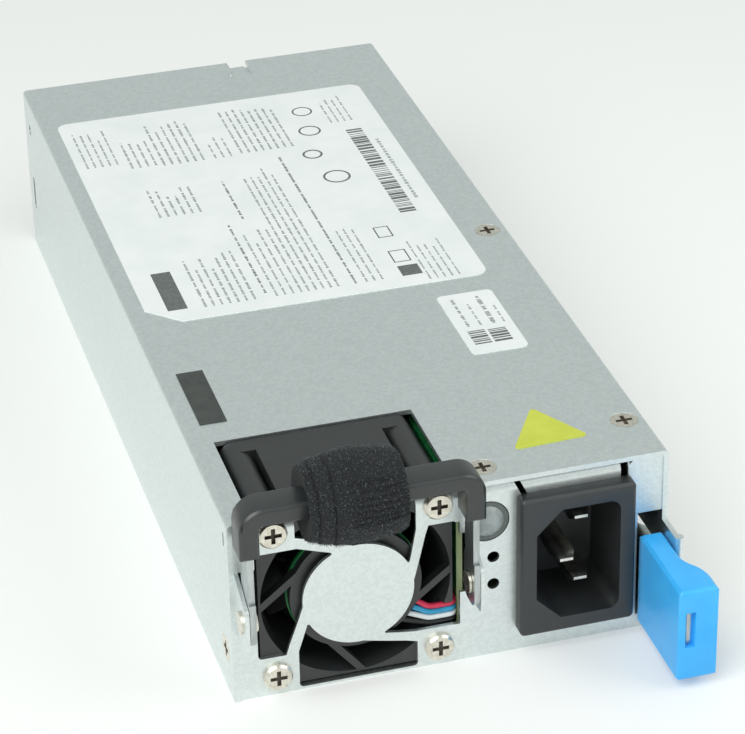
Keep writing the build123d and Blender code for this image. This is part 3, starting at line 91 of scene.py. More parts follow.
# A finish: two shades blended by a pattern of a real size, roughness that varies with it, and fine relief
def makeFinish(name, shades, patternMm, roughness, reliefMm=0.0, reliefSizeMm=0.3, metallic=0.0,
               stretch=(1, 1, 1), spangleMm=0.0, **shaderSettings):
    material = cleared(bpy.data.materials.new(name))
    place = addNode(material, "ShaderNodeTexCoord").outputs["Object"]
    if stretch != (1, 1, 1):
        drawn = addNode(material, "ShaderNodeMapping", {"Scale": stretch}, {"Vector": place})
        place = drawn.outputs["Vector"]
    pattern = addNode(material, "ShaderNodeTexNoise",
                      {"Scale": 1 / (patternMm * mm), "Detail": 4.0, "Roughness": 0.6},
                      {"Vector": place}).outputs["Fac"]
    if spangleMm:
        grain = addNode(material, "ShaderNodeTexVoronoi", {"Scale": 1 / (spangleMm * mm)}, {"Vector": place})
        grainShade = addNode(material, "ShaderNodeSeparateColor", links={"Color": grain.outputs["Color"]})
        mixed = addNode(material, "ShaderNodeMix", {"data_type": "FLOAT", 0: spangleShare},
                        {2: pattern, 3: grainShade.outputs["Red"]})
        pattern = mixed.outputs[0]
    colour = rampBetween(material, pattern, *shades)
    rough = addNode(material, "ShaderNodeMapRange", {"To Min": roughness[0], "To Max": roughness[1]},
                    {"Value": pattern}).outputs["Result"]
    links = {"Base Color": colour, "Roughness": rough}
    if reliefMm:
        relief = addNode(material, "ShaderNodeTexNoise", {"Scale": 1 / (reliefSizeMm * mm), "Detail": 3.0},
                         {"Vector": place})
        bump = addNode(material, "ShaderNodeBump", {"Strength": 1.0, "Distance": reliefMm * mm},
                       {"Height": relief.outputs["Fac"]})
        links["Normal"] = bump.outputs["Normal"]
    shader = addNode(material, "ShaderNodeBsdfPrincipled", {"Metallic": metallic, **shaderSettings}, links)
    addNode(material, "ShaderNodeOutputMaterial", links={"Surface": shader.outputs["BSDF"]})
    return material


finishes = {
    # Hot-dip galvanised sheet, skin-passed: dull light grey with a small faint spangle
    "galvanisedSheet": dict(shades=("#DBE2E1", "#E3EAE9"), patternMm=0.8,
                            roughness=(0.38, 0.43), reliefMm=0.0008,
                            reliefSizeMm=0.5, metallic=1.0, spangleMm=0.6),
    # Nickel-plated screw steel: warm bright metal with soft marks from tumbling
    "nickelPlatedScrew": dict(shades=("#CFCABC", "#EAE6DA"), patternMm=0.8, roughness=(0.22, 0.36),
                              reliefMm=0.01, reliefSizeMm=0.4, metallic=1.0),
    # Cross recess: painted shade of the hollow where the driver bit sits, a dark warm grey
    "paintedRecessShade": dict(shades=("#4A4238", "#655C50"), patternMm=0.4, roughness=(0.5, 0.7), reliefMm=0.01),
    # Cold-rolled spring strip: smooth grey steel, drawn out along the rolling direction
    "rolledSpringStrip": dict(shades=("#A9AFAF", "#C4C9C9"), patternMm=0.5, roughness=(0.26, 0.4),
                              reliefMm=0.003, metallic=1.0, stretch=(1, 1, 0.1)),
    # PBT with glass fibre, moulded black: even satin with a hazy grey sheen
    "glassFilledPbt": dict(shades=("#171A1A", "#1E2222"), patternMm=6.0,
                           roughness=(0.42, 0.54), reliefMm=0.01,
                           reliefSizeMm=0.35, **{"Specular IOR Level": 0.85}),
    # The rotor's PBT, with a smoother mould; its darker colour is painted shade of the fan's inside
    "rotorPbtPaintedShade": dict(shades=("#0D0F10", "#131516"), patternMm=5.0, roughness=(0.38, 0.48), reliefMm=0.006,
                     reliefSizeMm=0.3),
    # Nylon 66, moulded black: spark-eroded texture that greys the faces
    "sparkTexturedNylon": dict(shades=("#171A1B", "#1E2223"), patternMm=3.0, roughness=(0.45, 0.58),
                               reliefMm=0.015, reliefSizeMm=0.3, **{"Specular IOR Level": 0.85}),
    # ABS grip, moulded black: fine satin texture
    "satinAbs": dict(shades=("#222626", "#292D2D"), patternMm=5.0, roughness=(0.3, 0.4), reliefMm=0.006,
                     reliefSizeMm=0.25, **{"Specular IOR Level": 0.75}),
    # Blue ABS touch point: saturated, smooth satin moulding
    "blueTouchAbs": dict(shades=("#38B0FA", "#45B8FC"), patternMm=8.0, roughness=(0.34, 0.42), reliefMm=0.004,
                         reliefSizeMm=0.3),
    # Polycarbonate light pipe, sanded dull: milky grey
    "frostedPolycarbonate": dict(shades=("#A1AAA8", "#B4BDBB"), patternMm=2.0, roughness=(0.22, 0.34),
                                 reliefMm=0.01, reliefSizeMm=0.2),
    # Collar of the light pipe: the same grey moulding, darker by painted shade of the hole round it
    "lensCollarPaintedShade": dict(shades=("#5E6664", "#6D7573"), patternMm=2.0, roughness=(0.34, 0.46), reliefMm=0.006),
    # Nickel-plated brass blades: bright, slightly warm, scuffed by plugging
    "nickelPlatedBlade": dict(shades=("#C9C8C0", "#E6E5DE"), patternMm=1.2, roughness=(0.16, 0.3),
                              reliefMm=0.004, metallic=1.0, stretch=(1, 0.2, 1)),
    # Hard gold over nickel on the card edge
    "hardGold": dict(shades=("#C9A552", "#DDBB6A"), patternMm=1.0, roughness=(0.2, 0.3), reliefMm=0.002,
                     metallic=1.0),
    # Ground shaft steel
    "groundShaft": dict(shades=("#B4B6B6", "#CDCFCF"), patternMm=0.6, roughness=(0.15, 0.25), reliefMm=0.002,
                        metallic=1.0),
    # Glass-epoxy board under green solder mask: glossy, with the weave faintly telegraphed
    "greenSolderMask": dict(shades=("#1E6B3C", "#2A8049"), patternMm=1.2, roughness=(0.24, 0.36),
                            reliefMm=0.01, reliefSizeMm=0.6),
    # Sawn edge of the glass-epoxy board, where no mask covers the laminate
    "bareLaminateEdge": dict(shades=("#B7C996", "#C6D6A6"), patternMm=0.5,
                             roughness=(0.5, 0.62), reliefMm=0.01),
    # PVC wire insulation: soft low gloss
    "redPvc": dict(shades=("#D5304F", "#E23B5B"), patternMm=2.0, roughness=(0.34, 0.45), reliefMm=0.004),
    "bluePvc": dict(shades=("#2E97C4", "#3AA6D2"), patternMm=2.0, roughness=(0.34, 0.45), reliefMm=0.004),
    "whitePvc": dict(shades=("#E3E8E8", "#EEF1F1"), patternMm=2.0, roughness=(0.34, 0.45), reliefMm=0.004),
    "blackPvc": dict(shades=("#1C1F1F", "#262929"), patternMm=2.0, roughness=(0.34, 0.45), reliefMm=0.004),
    # Natural nylon plug
    "naturalNylon": dict(shades=("#DCD6C4", "#E6E1D1"), patternMm=3.0, roughness=(0.4, 0.5), reliefMm=0.006),
    # Polyester insulating film
    "polyesterFilm": dict(shades=("#D8D3BC", "#E2DEC9"), patternMm=6.0,
                          roughness=(0.2, 0.28), reliefMm=0.004),
    # Turned brass standoff
    "turnedBrass": dict(shades=("#B89A5A", "#CDB072"), patternMm=0.7, roughness=(0.25, 0.38), reliefMm=0.003,
                        metallic=1.0),
    # Enamelled copper winding wire
    "enamelledCopper": dict(shades=("#A85E33", "#BF7443"), patternMm=0.8, roughness=(0.2, 0.32),
                            reliefMm=0.03, reliefSizeMm=0.7, metallic=1.0),
    # Sintered ferrite: dull charcoal with fine pores
    "sinteredFerrite": dict(shades=("#3A3B3C", "#4A4B4C"), patternMm=0.8,
                            roughness=(0.6, 0.75), reliefMm=0.02),
    # Yellow polyester tape
    "polyesterTape": dict(shades=("#D9A21E", "#E5B033"), patternMm=4.0,
                          roughness=(0.25, 0.36), reliefMm=0.006),
    # Glazed ceramic fuse tube
    "glazedCeramic": dict(shades=("#DAD8D0", "#E8E6DF"), patternMm=3.0,
                          roughness=(0.16, 0.24), reliefMm=0.004),
    # Extruded aluminium: drawn lines along the fins
    "extrudedAluminium": dict(shades=("#B7BABC", "#CED1D2"), patternMm=0.4, roughness=(0.3, 0.42),
                              reliefMm=0.004, metallic=1.0, stretch=(1, 1, 0.08)),
    # PET sleeve over a capacitor can
    "petSleeve": dict(shades=("#1D2433", "#262E40"), patternMm=5.0, roughness=(0.2, 0.3), reliefMm=0.006),
    # Tinned copper bar
    "tinnedCopper": dict(shades=("#B9B3A8", "#CDC8BD"), patternMm=1.5, roughness=(0.3, 0.42), reliefMm=0.006,
                         metallic=1.0),
    # Polyester label stock, matt white print face
    "whiteLabelFilm": dict(shades=("#E6EBE9", "#ECF0EE"), patternMm=9.0,
                           roughness=(0.3, 0.4), reliefMm=0.003),
    # Black vinyl seal, slightly dusty
    "blackVinyl": dict(shades=("#303532", "#404542"), patternMm=3.0, roughness=(0.35, 0.5), reliefMm=0.01),
    # Yellow vinyl sticker
    "yellowVinyl": dict(shades=("#C2CB42", "#CAD44C"), patternMm=5.0, roughness=(0.3, 0.4), reliefMm=0.003),
    # Printing ink, two strengths
    "greyInk": dict(shades=("#7E8583", "#989E9C"), patternMm=0.8, roughness=(0.4, 0.5), reliefMm=0.002),
    "darkInk": dict(shades=("#565B5A", "#696E6D"), patternMm=0.8, roughness=(0.4, 0.5), reliefMm=0.002),
}

materials = {name: makeFinish(name, **recipe) for name, recipe in finishes.items()}

nodeFinish = {
    "galvanisedSheet": ["top_cover", "base_tray", "front_plate", "rear_panel"],
    "nickelPlatedScrew": ["cover_screws", "fan_screws", "board_screws", "handle_rivets"],
    "rolledSpringStrip": ["handle_bail", "latch_leaf"],
    "glassFilledPbt": ["fan_frame", "rectifier", "power_transistors"],
    # The rotor's darker finish is painted shade of the fan's inside
    "rotorPbtPaintedShade": ["fan_rotor"],
    "sparkTexturedNylon": ["inlet_housing"],
    "satinAbs": ["handle_grip"],
    "blueTouchAbs": ["latch_cap"],
    "frostedPolycarbonate": ["status_light_lens"],
    "nickelPlatedBlade": ["inlet_pins"],
    "hardGold": ["edge_contacts"],
    "groundShaft": ["fan_shaft"],
    "greenSolderMask": ["main_board", "led_board", "control_board", "motor_board"],
    "redPvc": ["fan_wire_red"],
    "bluePvc": ["fan_wire_blue"],
    "whitePvc": ["fan_wire_white"],
    "blackPvc": ["fan_wire_black", "inlet_leads"],
    "naturalNylon": ["fan_plug"],
    "polyesterFilm": ["insulator_sheet"],
    "turnedBrass": ["board_standoffs"],
    "enamelledCopper": ["choke_winding", "boost_winding"],
    "sinteredFerrite": ["filter_choke", "boost_core", "transformer_core"],
    "polyesterTape": ["transformer_bobbin", "x_capacitor"],
    "glazedCeramic": ["line_fuse"],
    "extrudedAluminium": ["rectifier_heatsink", "switch_heatsink"],
    "petSleeve": ["bulk_capacitor", "output_capacitors"],
    "tinnedCopper": ["output_busbar"],
    "whiteLabelFilm": ["rating_label", "part_label"],
    "blackVinyl": ["black_label"],
    "yellowVinyl": ["yellow_sticker"],
}
sharpAngle = math.radians(32)
weldWithin = 1e-6  # in metres
# Rounding of the mouldings' edges, in mm; the thin sheet stays sharp, because rounding it shades its
# flats unevenly
rounded = {"handle_grip": 0.5, "inlet_housing": 0.3, "latch_cap": 0.5}
roundingSteps = 3

for finish, names in nodeFinish.items():
    for name in names:
        shown = nodes[name]
        shown.data.materials.clear()
        shown.data.materials.append(materials[finish])
        for face in shown.data.polygons:
            face.use_smooth = True
        weld = shown.modifiers.new("joinSeams", "WELD")
        weld.merge_threshold = weldWithin
        if name in rounded:
            rounding = shown.modifiers.new("roundEdges", "BEVEL")
            rounding.width = rounded[name] * mm
            rounding.segments = roundingSteps
            rounding.limit_method = "ANGLE"
            rounding.angle_limit = sharpAngle
            rounding.harden_normals = True
        else:
            split = shown.modifiers.new("keepCorners", "EDGE_SPLIT")
            split.split_angle = sharpAngle

# The light board shows its sawn front edge: faces whose normal points this far to the front
frontFacing = -0.9
ledBoard = nodes["led_board"].data
ledBoard.materials.append(materials["bareLaminateEdge"])
for face in ledBoard.polygons:
    if face.normal.y < frontFacing:
        face.material_index = 1

# Light pipe: what lies outside the lens itself is its collar, which gets painted shade
lensSettings = {"x": 50.3, "z": 30.5, "radius": 3.2}
lensMesh = nodes["status_light_lens"].data
lensMesh.materials.append(materials["lensCollarPaintedShade"])
lensMiddle = casePoint(lensSettings["x"], 0, lensSettings["z"])
for face in lensMesh.polygons:
    if math.hypot(face.center.x - lensMiddle.x, face.center.z - lensMiddle.z) > lensSettings["radius"] * mm:
        face.material_index = 1

# Cross recesses, in mm: faces near a screw's axis that lie just below the top of its head get painted shade
recessSettings = {"reach": 1.75, "from": 0.06, "to": 0.78, "apart": 5.0, "nearWall": 3}


def paintRecessShade(name, outwards, s):
    mesh = nodes[name].data
    # The recess faces take a darker material: painted shade
    mesh.materials.append(materials["paintedRecessShade"])
    screws = []
    for face in mesh.polygons:
        near = [screw for screw in screws if (screw[0].center - face.center).length < s["apart"] * mm]
        if near:
            near[0].append(face)
        else:
            screws.append([face])
    for screw in screws:
        middle = sum((face.center for face in screw), Vector()) / len(screw)
        out = outwards(middle)
        top = max(face.center.dot(out) for face in screw)
        for face in screw:
            away = face.center - middle
            depth = top - face.center.dot(out)
            aside = (away - out * away.dot(out)).length
            if aside < s["reach"] * mm and s["from"] * mm < depth < s["to"] * mm:
                face.material_index = 1


paintRecessShade("fan_screws", lambda middle: Vector((0, -1, 0)), recessSettings)
# A cover screw near the left wall points out of it, the others point up
wallLimit = (caseLeft + recessSettings["nearWall"]) * mm
paintRecessShade("cover_screws",
               lambda middle: Vector((-1, 0, 0)) if middle.x < wallLimit else Vector((0, 0, 1)),
               recessSettings)
print("finishes on", sum(len(names) for names in nodeFinish.values()), "nodes")


# New pieces

def addObject(name, data):
    made = bpy.data.objects.new(name, data)
    bpy.context.scene.collection.objects.link(made)
    return made


def addPiece(name, mesh, finish, body="case"):
    mesh.materials.append(materials[finish])
    piece = addObject(name, mesh)
    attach(piece, body)
    return piece


labelThickness, inkLift = 0.15, 0.012  # in mm
inkHeight = caseTop + labelThickness + inkLift
ringSteps = 28

# Plain bars as long as a letter stand for the small print, with no letter's shape
letterBars = {"length": (0.28, 0.6), "gap": 0.17, "heights": (0.65, 0.8, 1.0), "shortest": 0.1}


# Rows run from front to rear, and words and bars have random lengths
def printedRows(name, groups, inkName, seed):
    chance = random.Random(seed)
    mesh = bpy.data.meshes.new(name)
    build = bmesh.new()
    for group in groups:
        x = group["x"][0]
        while x <= group["x"][1]:
            start, end = group["y"]
            end -= chance.uniform(0, group.get("ragged", 0))
            y = start
            while y < end:
                word = min(chance.uniform(*group.get("word", (1.5, 4.5))), end - y)
                solid = group.get("solid", False)
                at = y
                while at < y + word - letterBars["shortest"]:
                    bar = word if solid else min(chance.uniform(*letterBars["length"]), y + word - at)
                    half = group["weight"] / 2 * (1 if solid else chance.choice(letterBars["heights"]))
                    corners = [(x - half, at), (x + half, at), (x + half, at + bar), (x - half, at + bar)]
                    build.faces.new([build.verts.new(casePoint(cx, cy, inkHeight)) for cx, cy in corners])
                    at += bar + letterBars["gap"]
                y += word + chance.uniform(*group.get("gap", (0.5, 0.9)))
            x += group["pitch"]
    build.to_mesh(mesh)
    build.free()
    addPiece(name, mesh, inkName)


smallPrint = [
    dict(x=(6.2, 13.2), y=(152.8, 173.2), pitch=1.7, weight=0.5, ragged=8),
    dict(x=(15.8, 21.5), y=(149.8, 163.5), pitch=1.8, weight=0.6, ragged=3),
    dict(x=(23.0, 33.0), y=(149.0, 171.0), pitch=1.8, weight=0.6, ragged=5),
    dict(x=(34.8, 40.0), y=(149.0, 161.0), pitch=1.8, weight=0.5, ragged=5),
    dict(x=(41.0, 54.0), y=(149.5, 173.5), pitch=1.7, weight=0.6, ragged=4),
    dict(x=(64.6, 69.8), y=(158.5, 174.0), pitch=1.6, weight=0.45, ragged=6),
    dict(x=(16.3, 26.4), y=(124.2, 140.5), pitch=1.8, weight=0.6, ragged=7),
    dict(x=(16.2, 27.5), y=(82.0, 104.5), pitch=1.75, weight=0.6, ragged=7),
    dict(x=(31.4, 36.7), y=(82.0, 115.0), pitch=1.75, weight=0.5, ragged=9),
    dict(x=(38.2, 46.0), y=(82.0, 144.0), pitch=1.6, weight=0.55, ragged=10),
    dict(x=(50.8, 54.4), y=(82.0, 108.0), pitch=1.7, weight=0.5, ragged=4),
    dict(x=(63.8, 70.4), y=(79.0, 97.5), pitch=1.6, weight=0.45, ragged=5),
    dict(x=(72.0, 72.0), y=(116.0, 147.0), pitch=2.0, weight=0.9, word=(0.7, 1.1), gap=(0.4, 0.5)),
]
boldPrint = [
    dict(x=(10.4, 10.4), y=(82.6, 99.4), pitch=3.6, weight=4.2, word=(30, 30), solid=True),
    dict(x=(48.4, 48.4), y=(82.0, 144.8), pitch=2.0, weight=0.6, word=(1.5, 5)),
    dict(x=(29.4, 29.4), y=(84.0, 116.0), pitch=2.0, weight=0.6, word=(1.2, 3.5)),
    dict(x=(33.2, 33.2), y=(118.0, 137.0), pitch=2.0, weight=0.6, word=(1.2, 3.5)),
]
printedRows("rating_small_print", smallPrint, "greyInk", 3)
printedRows("rating_bold_print", boldPrint, "darkInk", 5)


# Bars across a strip, with random widths, and plain frames, blocks and rings in the place of marks
def printedBlocks(name, strips, boxes, rings, inkName, seed):
    chance = random.Random(seed)
    mesh = bpy.data.meshes.new(name)
    build = bmesh.new()

    def addQuad(x0, y0, x1, y1):
        corners = [(x0, y0), (x1, y0), (x1, y1), (x0, y1)]
        build.faces.new([build.verts.new(casePoint(cx, cy, inkHeight)) for cx, cy in corners])

    for strip in strips:
        y = strip["y"][0]
        while y < strip["y"][1]:
            bar = chance.choice(strip["bars"])
            addQuad(strip["x"][0], y, strip["x"][1], y + bar)
            y += bar + chance.choice(strip["spaces"])
    for x0, y0, x1, y1, line in boxes:
        if line == 0:
            addQuad(x0, y0, x1, y1)
        else:
            addQuad(x0, y0, x1, y0 + line)
            addQuad(x0, y1 - line, x1, y1)
            addQuad(x0, y0 + line, x0 + line, y1 - line)
            addQuad(x1 - line, y0 + line, x1, y1 - line)
    for x, y, radius, line in rings:
        outer = []
        inner = []
        for step in range(ringSteps):
            angle = math.tau * step / ringSteps
            outer.append(build.verts.new(casePoint(x + radius * math.cos(angle), y + radius * math.sin(angle),
                                                   inkHeight)))
            inner.append(build.verts.new(casePoint(x + (radius - line) * math.cos(angle),
                                                   y + (radius - line) * math.sin(angle), inkHeight)))
        for step in range(ringSteps):
            after = (step + 1) % ringSteps
            build.faces.new([inner[step], outer[step], outer[after], inner[after]])
    build.to_mesh(mesh)
    build.free()
    addPiece(name, mesh, inkName)


printedBlocks(
    "rating_blocks",
    strips=[dict(x=(66.5, 70.2), y=(110, 153), bars=(0.3, 0.45, 0.7, 1.0), spaces=(0.3, 0.45, 0.7))],
    boxes=[(58.6, 82.0, 63.0, 86.5, 0), (58.6, 88.2, 62.4, 93.6, 0.3), (58.6, 100.0, 62.0, 105.0, 0.3)],
    rings=[(56.0, 144.0, 2.3, 0.5), (58.2, 131.5, 3.1, 0.5), (58.6, 156.0, 2.6, 0.45),
           (59.6, 166.5, 2.4, 0.4)],
    inkName="darkInk", seed=7)
printedBlocks(
    "part_label_blocks",
    strips=[dict(x=(64.0, 67.6), y=(49.5, 55.0), bars=(0.35, 0.5, 0.8), spaces=(0.3, 0.45)),
            dict(x=(68.2, 72.0), y=(49.5, 55.0), bars=(0.35, 0.5, 0.8), spaces=(0.3, 0.45))],
    boxes=[], rings=[], inkName="darkInk", seed=11)
printedRows("part_label_print", [
    dict(x=(65.0, 65.0), y=(57.0, 69.0), pitch=2.0, weight=0.7, word=(1.0, 3.0)),
    dict(x=(67.6, 67.6), y=(57.0, 66.0), pitch=2.0, weight=0.5, word=(1.0, 2.5)),
    dict(x=(70.4, 70.4), y=(57.0, 69.0), pitch=2.0, weight=1.0, word=(1.0, 2.6)),
    dict(x=(72.6, 72.6), y=(57.0, 64.0), pitch=2.0, weight=0.5, word=(1.0, 2.5)),
], "greyInk", 13)
print("labels printed")

# Strap: hook-and-loop tape rolled round the grip, with its pile outwards
strapSettings = {
    "axisY": -4.6, "axisZ": 44.8,                    # middle of the roll, from the front and the underside
    "startX": 13.1, "endX": 31.8,                    # its two ends, from the left wall
    "startRadius": 7.0, "middleRadius": 8.4, "endRadius": 6.8, "peakAt": 0.55, "bulge": 0.7,
    "layerEdges": (0.09, 0.245),                     # ends of the tape's inner layers, as shares of the width
    "layerStep": 0.2, "layerRise": 0.015, "seamDepth": 0.45, "seamWidth": 0.014,
    "ribsFrom": 0.37, "ribPitch": 1.2, "ribDepth": 0.6,
    "ribsBelow": -1.5, "ribsAbove": 6.5, "ribFade": 0.12,
    "lumpDepth": 0.35, "lumpAlong": 0.25, "lumpAround": 2.2,
    "around": 220, "along": 110,                     # how finely the roll is divided
    "endSteps": ((0.3, 0.86), (0.25, 0.7), (0.45, 0.52)),  # inwards in mm, and share of the ring before
    "backStop": 0.85, "backTop": 39.55,              # the fan behind holds the roll off
}
# Napped nylon loop: near-black pile; its pale specks are painted highlights where the loops catch the light
pileSettings = {"loopMm": 0.45, "darkBelow": 0.42, "paleAbove": 0.68, "reliefMm": 0.2}


def makeStrapFinish(name, shades, sheen, s):
    material = cleared(bpy.data.materials.new(name))
    place = addNode(material, "ShaderNodeTexCoord").outputs["Object"]
    loops = addNode(material, "ShaderNodeTexNoise",
                    {"Scale": 1 / (s["loopMm"] * mm), "Detail": 5.0, "Roughness": 0.7}, {"Vector": place})
    colour = rampBetween(material, loops.outputs["Fac"], *shades, lowAt=s["darkBelow"], highAt=s["paleAbove"])
    bump = addNode(material, "ShaderNodeBump", {"Strength": 1.0, "Distance": s["reliefMm"] * mm},
                   {"Height": loops.outputs["Fac"]})
    shader = addNode(material, "ShaderNodeBsdfPrincipled",
                     {"Roughness": 0.85, "Sheen Weight": sheen, "Sheen Roughness": 0.5},
                     {"Base Color": colour, "Normal": bump.outputs["Normal"]})
    addNode(material, "ShaderNodeOutputMaterial", links={"Surface": shader.outputs["BSDF"]})
    return material


# The fibres' pale shade is a painted highlight, the glints of the loops; the pile's own shades stay near-black
for name, shades, sheen in (("nylonLoopPile", ("#060808", "#20262A"), 0.03),
                            ("nylonFibrePaintedGlints", ("#0E1112", "#8E9698"), 0.06)):
    materials[name] = makeStrapFinish(name, shades, sheen, pileSettings)


def strapRadius(share, angle, s):
    # share runs along the width, angle round the roll, from the front upwards
    if share < s["peakAt"]:
        side, low = share / s["peakAt"], s["startRadius"]
    else:
        side, low = (1 - share) / (1 - s["peakAt"]), s["endRadius"]
    radius = low + (s["middleRadius"] - low) * math.sin(max(side, 0) * math.pi / 2) ** s["bulge"]
    for edge in s["layerEdges"]:
        if share > edge:
            radius += s["layerStep"] * min(1, (share - edge) / s["layerRise"])
        radius -= s["seamDepth"] * math.exp(-((share - edge) / s["seamWidth"]) ** 2)
    return radius


def strapPoint(share, angle, s):
    radius = strapRadius(share, angle, s)
    x = s["startX"] + share * (s["endX"] - s["startX"])
    lump = noise.noise(Vector((x * s["lumpAlong"], math.cos(angle) * s["lumpAround"],
                               math.sin(angle) * s["lumpAround"])))
    radius += s["lumpDepth"] * lump
    height = radius * math.sin(angle)
    if math.cos(angle) > 0 and s["ribsBelow"] < height < s["ribsAbove"] and share > s["ribsFrom"]:
        fade = min(1, (share - s["ribsFrom"]) / s["ribFade"])
        radius -= s["ribDepth"] * fade * (0.5 + 0.5 * math.cos(math.tau * height / s["ribPitch"]))
    y = s["axisY"] - radius * math.cos(angle)
    z = s["axisZ"] + radius * math.sin(angle)
    if z < s["backTop"]:
        y = min(y, s["backStop"])
    return casePoint(x, y, z)


def buildStrap(s):
    around, along = s["around"], s["along"]
    mesh = bpy.data.meshes.new("strap_roll")
    build = bmesh.new()
    rings = []
    for i in range(along + 1):
        share = i / along
        rings.append([build.verts.new(strapPoint(share, math.tau * j / around, s)) for j in range(around)])
    for i in range(along):
        for j in range(around):
            after = (j + 1) % around
            build.faces.new([rings[i][j], rings[i + 1][j], rings[i + 1][after], rings[i][after]])
    # Rolled ends: the layers turn inwards to the grip
    for ring, towards in ((rings[0], 1), (rings[-1], -1)):
        outer = ring
        for depth, shrink in s["endSteps"]:
            inner = []
            for vertex in outer:
                centre = casePoint(0, s["axisY"], s["axisZ"])
                x = vertex.co.x + towards * depth * mm
                inner.append(build.verts.new(Vector((
                    x,
                    centre.y + (vertex.co.y - centre.y) * shrink,
                    centre.z + (vertex.co.z - centre.z) * shrink,
                ))))
            for j in range(around):
                after = (j + 1) % around
                build.faces.new([outer[j], outer[after], inner[after], inner[j]])
            outer = inner
    bmesh.ops.recalc_face_normals(build, faces=build.faces)
    for face in build.faces:
        face.smooth = True
    build.to_mesh(mesh)
    build.free()
    return mesh


strapMesh = buildStrap(strapSettings)
strapPiece = addPiece("strap_roll", strapMesh, "nylonLoopPile", "handle")
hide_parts("strap")


# Loose fibres of the pile: each is a bent strip that stands out of the roll and leans at random
fibreSettings = {
    "count": 4200,
    "length": 0.6, "width": 0.07, "rootDepth": 0.05, "backGap": 0.05,  # in mm
    "lengths": (0.5, 1.1), "lean": 0.8, "leastLean": 0.01,             # shares, and so are the rest
    "middleOut": 0.62, "middleLean": 0.25, "endOut": (0.3, 0.75), "endLean": 0.85, "tip": 0.6,
}


def buildFibres(strap, s, seed):
    chance = random.Random(seed)
    mesh = bpy.data.meshes.new("strap_fibres")
    points, faces = [], []
    centre = casePoint(0, strap["axisY"], strap["axisZ"])
    for _ in range(s["count"]):
        share = chance.uniform(0.0, 1.0)
        angle = chance.uniform(0, math.tau)
        root = strapPoint(share, angle, strap)
        if root.y > (caseFront + strap["backStop"] - s["backGap"]) * mm:
            continue
        out = Vector((0, root.y - centre.y, root.z - centre.z)).normalized()
        along = Vector((1, 0, 0))
        across = out.cross(along)
        lean = (along * chance.uniform(-1, 1) + across * chance.uniform(-1, 1)) * s["lean"]
        length = s["length"] * chance.uniform(*s["lengths"]) * mm
        width = s["width"] * mm
        wide = (out.cross(lean).normalized() if lean.length > s["leastLean"] else along) * width / 2
        middle = root + out * length * s["middleOut"] + lean * length * s["middleLean"]
        end = root + out * length * chance.uniform(*s["endOut"]) + lean * length * s["endLean"]
        first = len(points)
        root = root - out * s["rootDepth"] * mm
        points += [root - wide, root + wide, middle - wide, middle + wide,
                   end - wide * s["tip"], end + wide * s["tip"]]
        faces += [(first, first + 1, first + 3, first + 2), (first + 2, first + 3, first + 5, first + 4)]
    mesh.from_pydata(points, [], faces)
    mesh.update()
    return mesh


addPiece("strap_fibres", buildFibres(strapSettings, fibreSettings, 21), "nylonFibrePaintedGlints", "handle")
print("strap rolled")

# Floor, light and camera
floorSettings = {
    "corners": [(-3, -3, 0), (3, -3, 0), (3, 5, 0), (-3, 5, 0)],     # in metres
    "paint": "#E8E9E7", "glow": "#F7F7F3",
    "front": -0.3, "rear": 0.5,                                      # in metres
    "liftFront": 0.2, "liftRear": 0.0,                               # strength of the glow at these two places
}
floorMesh = bpy.data.meshes.new("floor")
floorMesh.from_pydata(floorSettings["corners"], [], [(0, 1, 2, 3)])
floor = addObject("floor", floorMesh)


# 1 for what is seen directly, in a mirror or through glass, and 0 for light that falls on things
def seenDirectly(owner):
    path = addNode(owner, "ShaderNodeLightPath")
    seen = addNode(owner, "ShaderNodeMath", {"operation": "MAXIMUM"},
                   {0: path.outputs["Is Camera Ray"], 1: path.outputs["Is Glossy Ray"]})
    seen = addNode(owner, "ShaderNodeMath", {"operation": "MAXIMUM"},
                   {0: seen.outputs[0], 1: path.outputs["Is Transmission Ray"]})
    return seen.outputs[0]


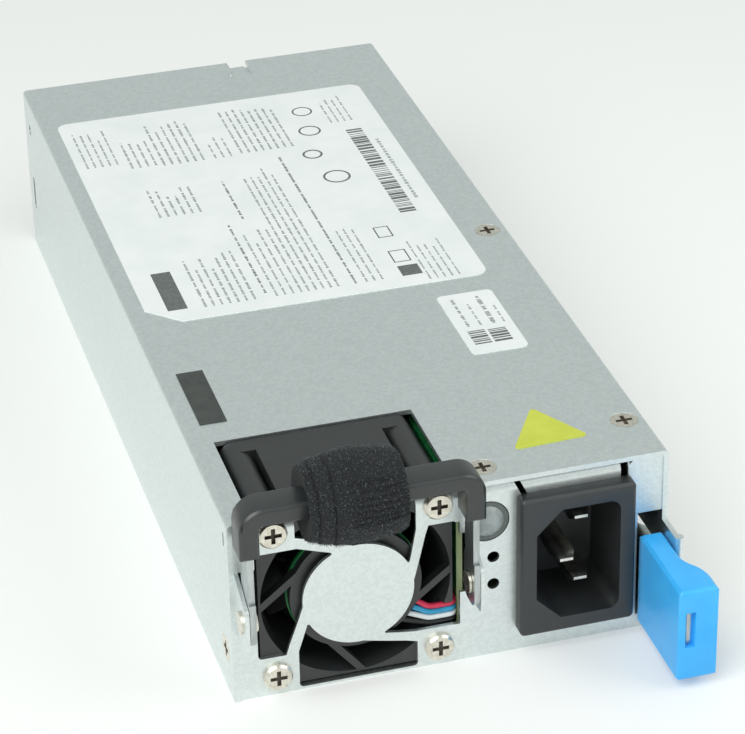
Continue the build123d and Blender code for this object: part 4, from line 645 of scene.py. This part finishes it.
# Painted board: pale and matt; cameras and reflections see it lifted towards white, more at the front
def makeFloorFinish(name, s):
    material = cleared(bpy.data.materials.new(name))
    seen = seenDirectly(material)
    place = addNode(material, "ShaderNodeTexCoord").outputs["Object"]
    depth = addNode(material, "ShaderNodeSeparateXYZ", links={"Vector": place})
    fade = addNode(material, "ShaderNodeMapRange",
                   {"From Min": s["front"], "From Max": s["rear"],
                    "To Min": s["liftFront"], "To Max": s["liftRear"]},
                   {"Value": depth.outputs["Y"]})
    strength = addNode(material, "ShaderNodeMath", {"operation": "MULTIPLY"},
                       {0: seen, 1: fade.outputs["Result"]})
    board = addNode(material, "ShaderNodeBsdfDiffuse", {"Color": linearColour(s["paint"])})
    glow = addNode(material, "ShaderNodeEmission", {"Color": linearColour(s["glow"])},
                   {"Strength": strength.outputs[0]})
    both = addNode(material, "ShaderNodeAddShader", links={0: board.outputs[0], 1: glow.outputs[0]})
    addNode(material, "ShaderNodeOutputMaterial", links={"Surface": both.outputs[0]})
    return material


floorMesh.materials.append(makeFloorFinish("paintedBoard", floorSettings))

worldSettings = {"diffuse": 0.56, "seen": 0.68, "tint": "#EEF4F2"}


def makeWorld(s):
    world = cleared(bpy.data.worlds.new("studio"))
    seen = seenDirectly(world)
    strength = addNode(world, "ShaderNodeMapRange", {"To Min": s["diffuse"], "To Max": s["seen"]},
                       {"Value": seen})
    sky = addNode(world, "ShaderNodeBackground", {"Color": linearColour(s["tint"])},
                  {"Strength": strength.outputs["Result"]})
    addNode(world, "ShaderNodeOutputWorld", links={"Surface": sky.outputs[0]})
    bpy.context.scene.world = world


makeWorld(worldSettings)

# Soft boxes: place and aim in metres, size in metres, power in watts
softBoxes = {
    "key": dict(place=(-0.9, -0.9, 1.3), aim=(0, -0.03, 0.02), size=1.7, power=23),
    "fill": dict(place=(1.1, -0.7, 1.0), aim=(0, 0, 0.02), size=1.2, power=6.5),
}
for name, s in softBoxes.items():
    lamp = bpy.data.lights.new(name, "AREA")
    lamp.shape = "DISK"
    lamp.size = s["size"]
    lamp.energy = s["power"]
    box = addObject(name, lamp)
    box.location = s["place"]
    box.rotation_euler = (Vector(s["aim"]) - Vector(s["place"])).to_track_quat("-Z", "Y").to_euler()

# Camera: place and nearest in metres, turn in degrees, lens and sensor in mm
cameraSettings = {"place": (-0.14414, -0.5596, 0.34418), "turn": (59.992, 1.112, -16.35), "lens": 148.1,
                  "sensor": 36, "nearest": 0.01}
view = bpy.data.cameras.new("camera")
view.lens = cameraSettings["lens"]
view.sensor_width = cameraSettings["sensor"]
view.clip_start = cameraSettings["nearest"]
camera = addObject("camera", view)
camera.location = cameraSettings["place"]
camera.rotation_euler = [math.radians(turn) for turn in cameraSettings["turn"]]
bpy.context.scene.camera = camera
bpy.context.scene.view_settings.view_transform = "Standard"
print("light and camera set")
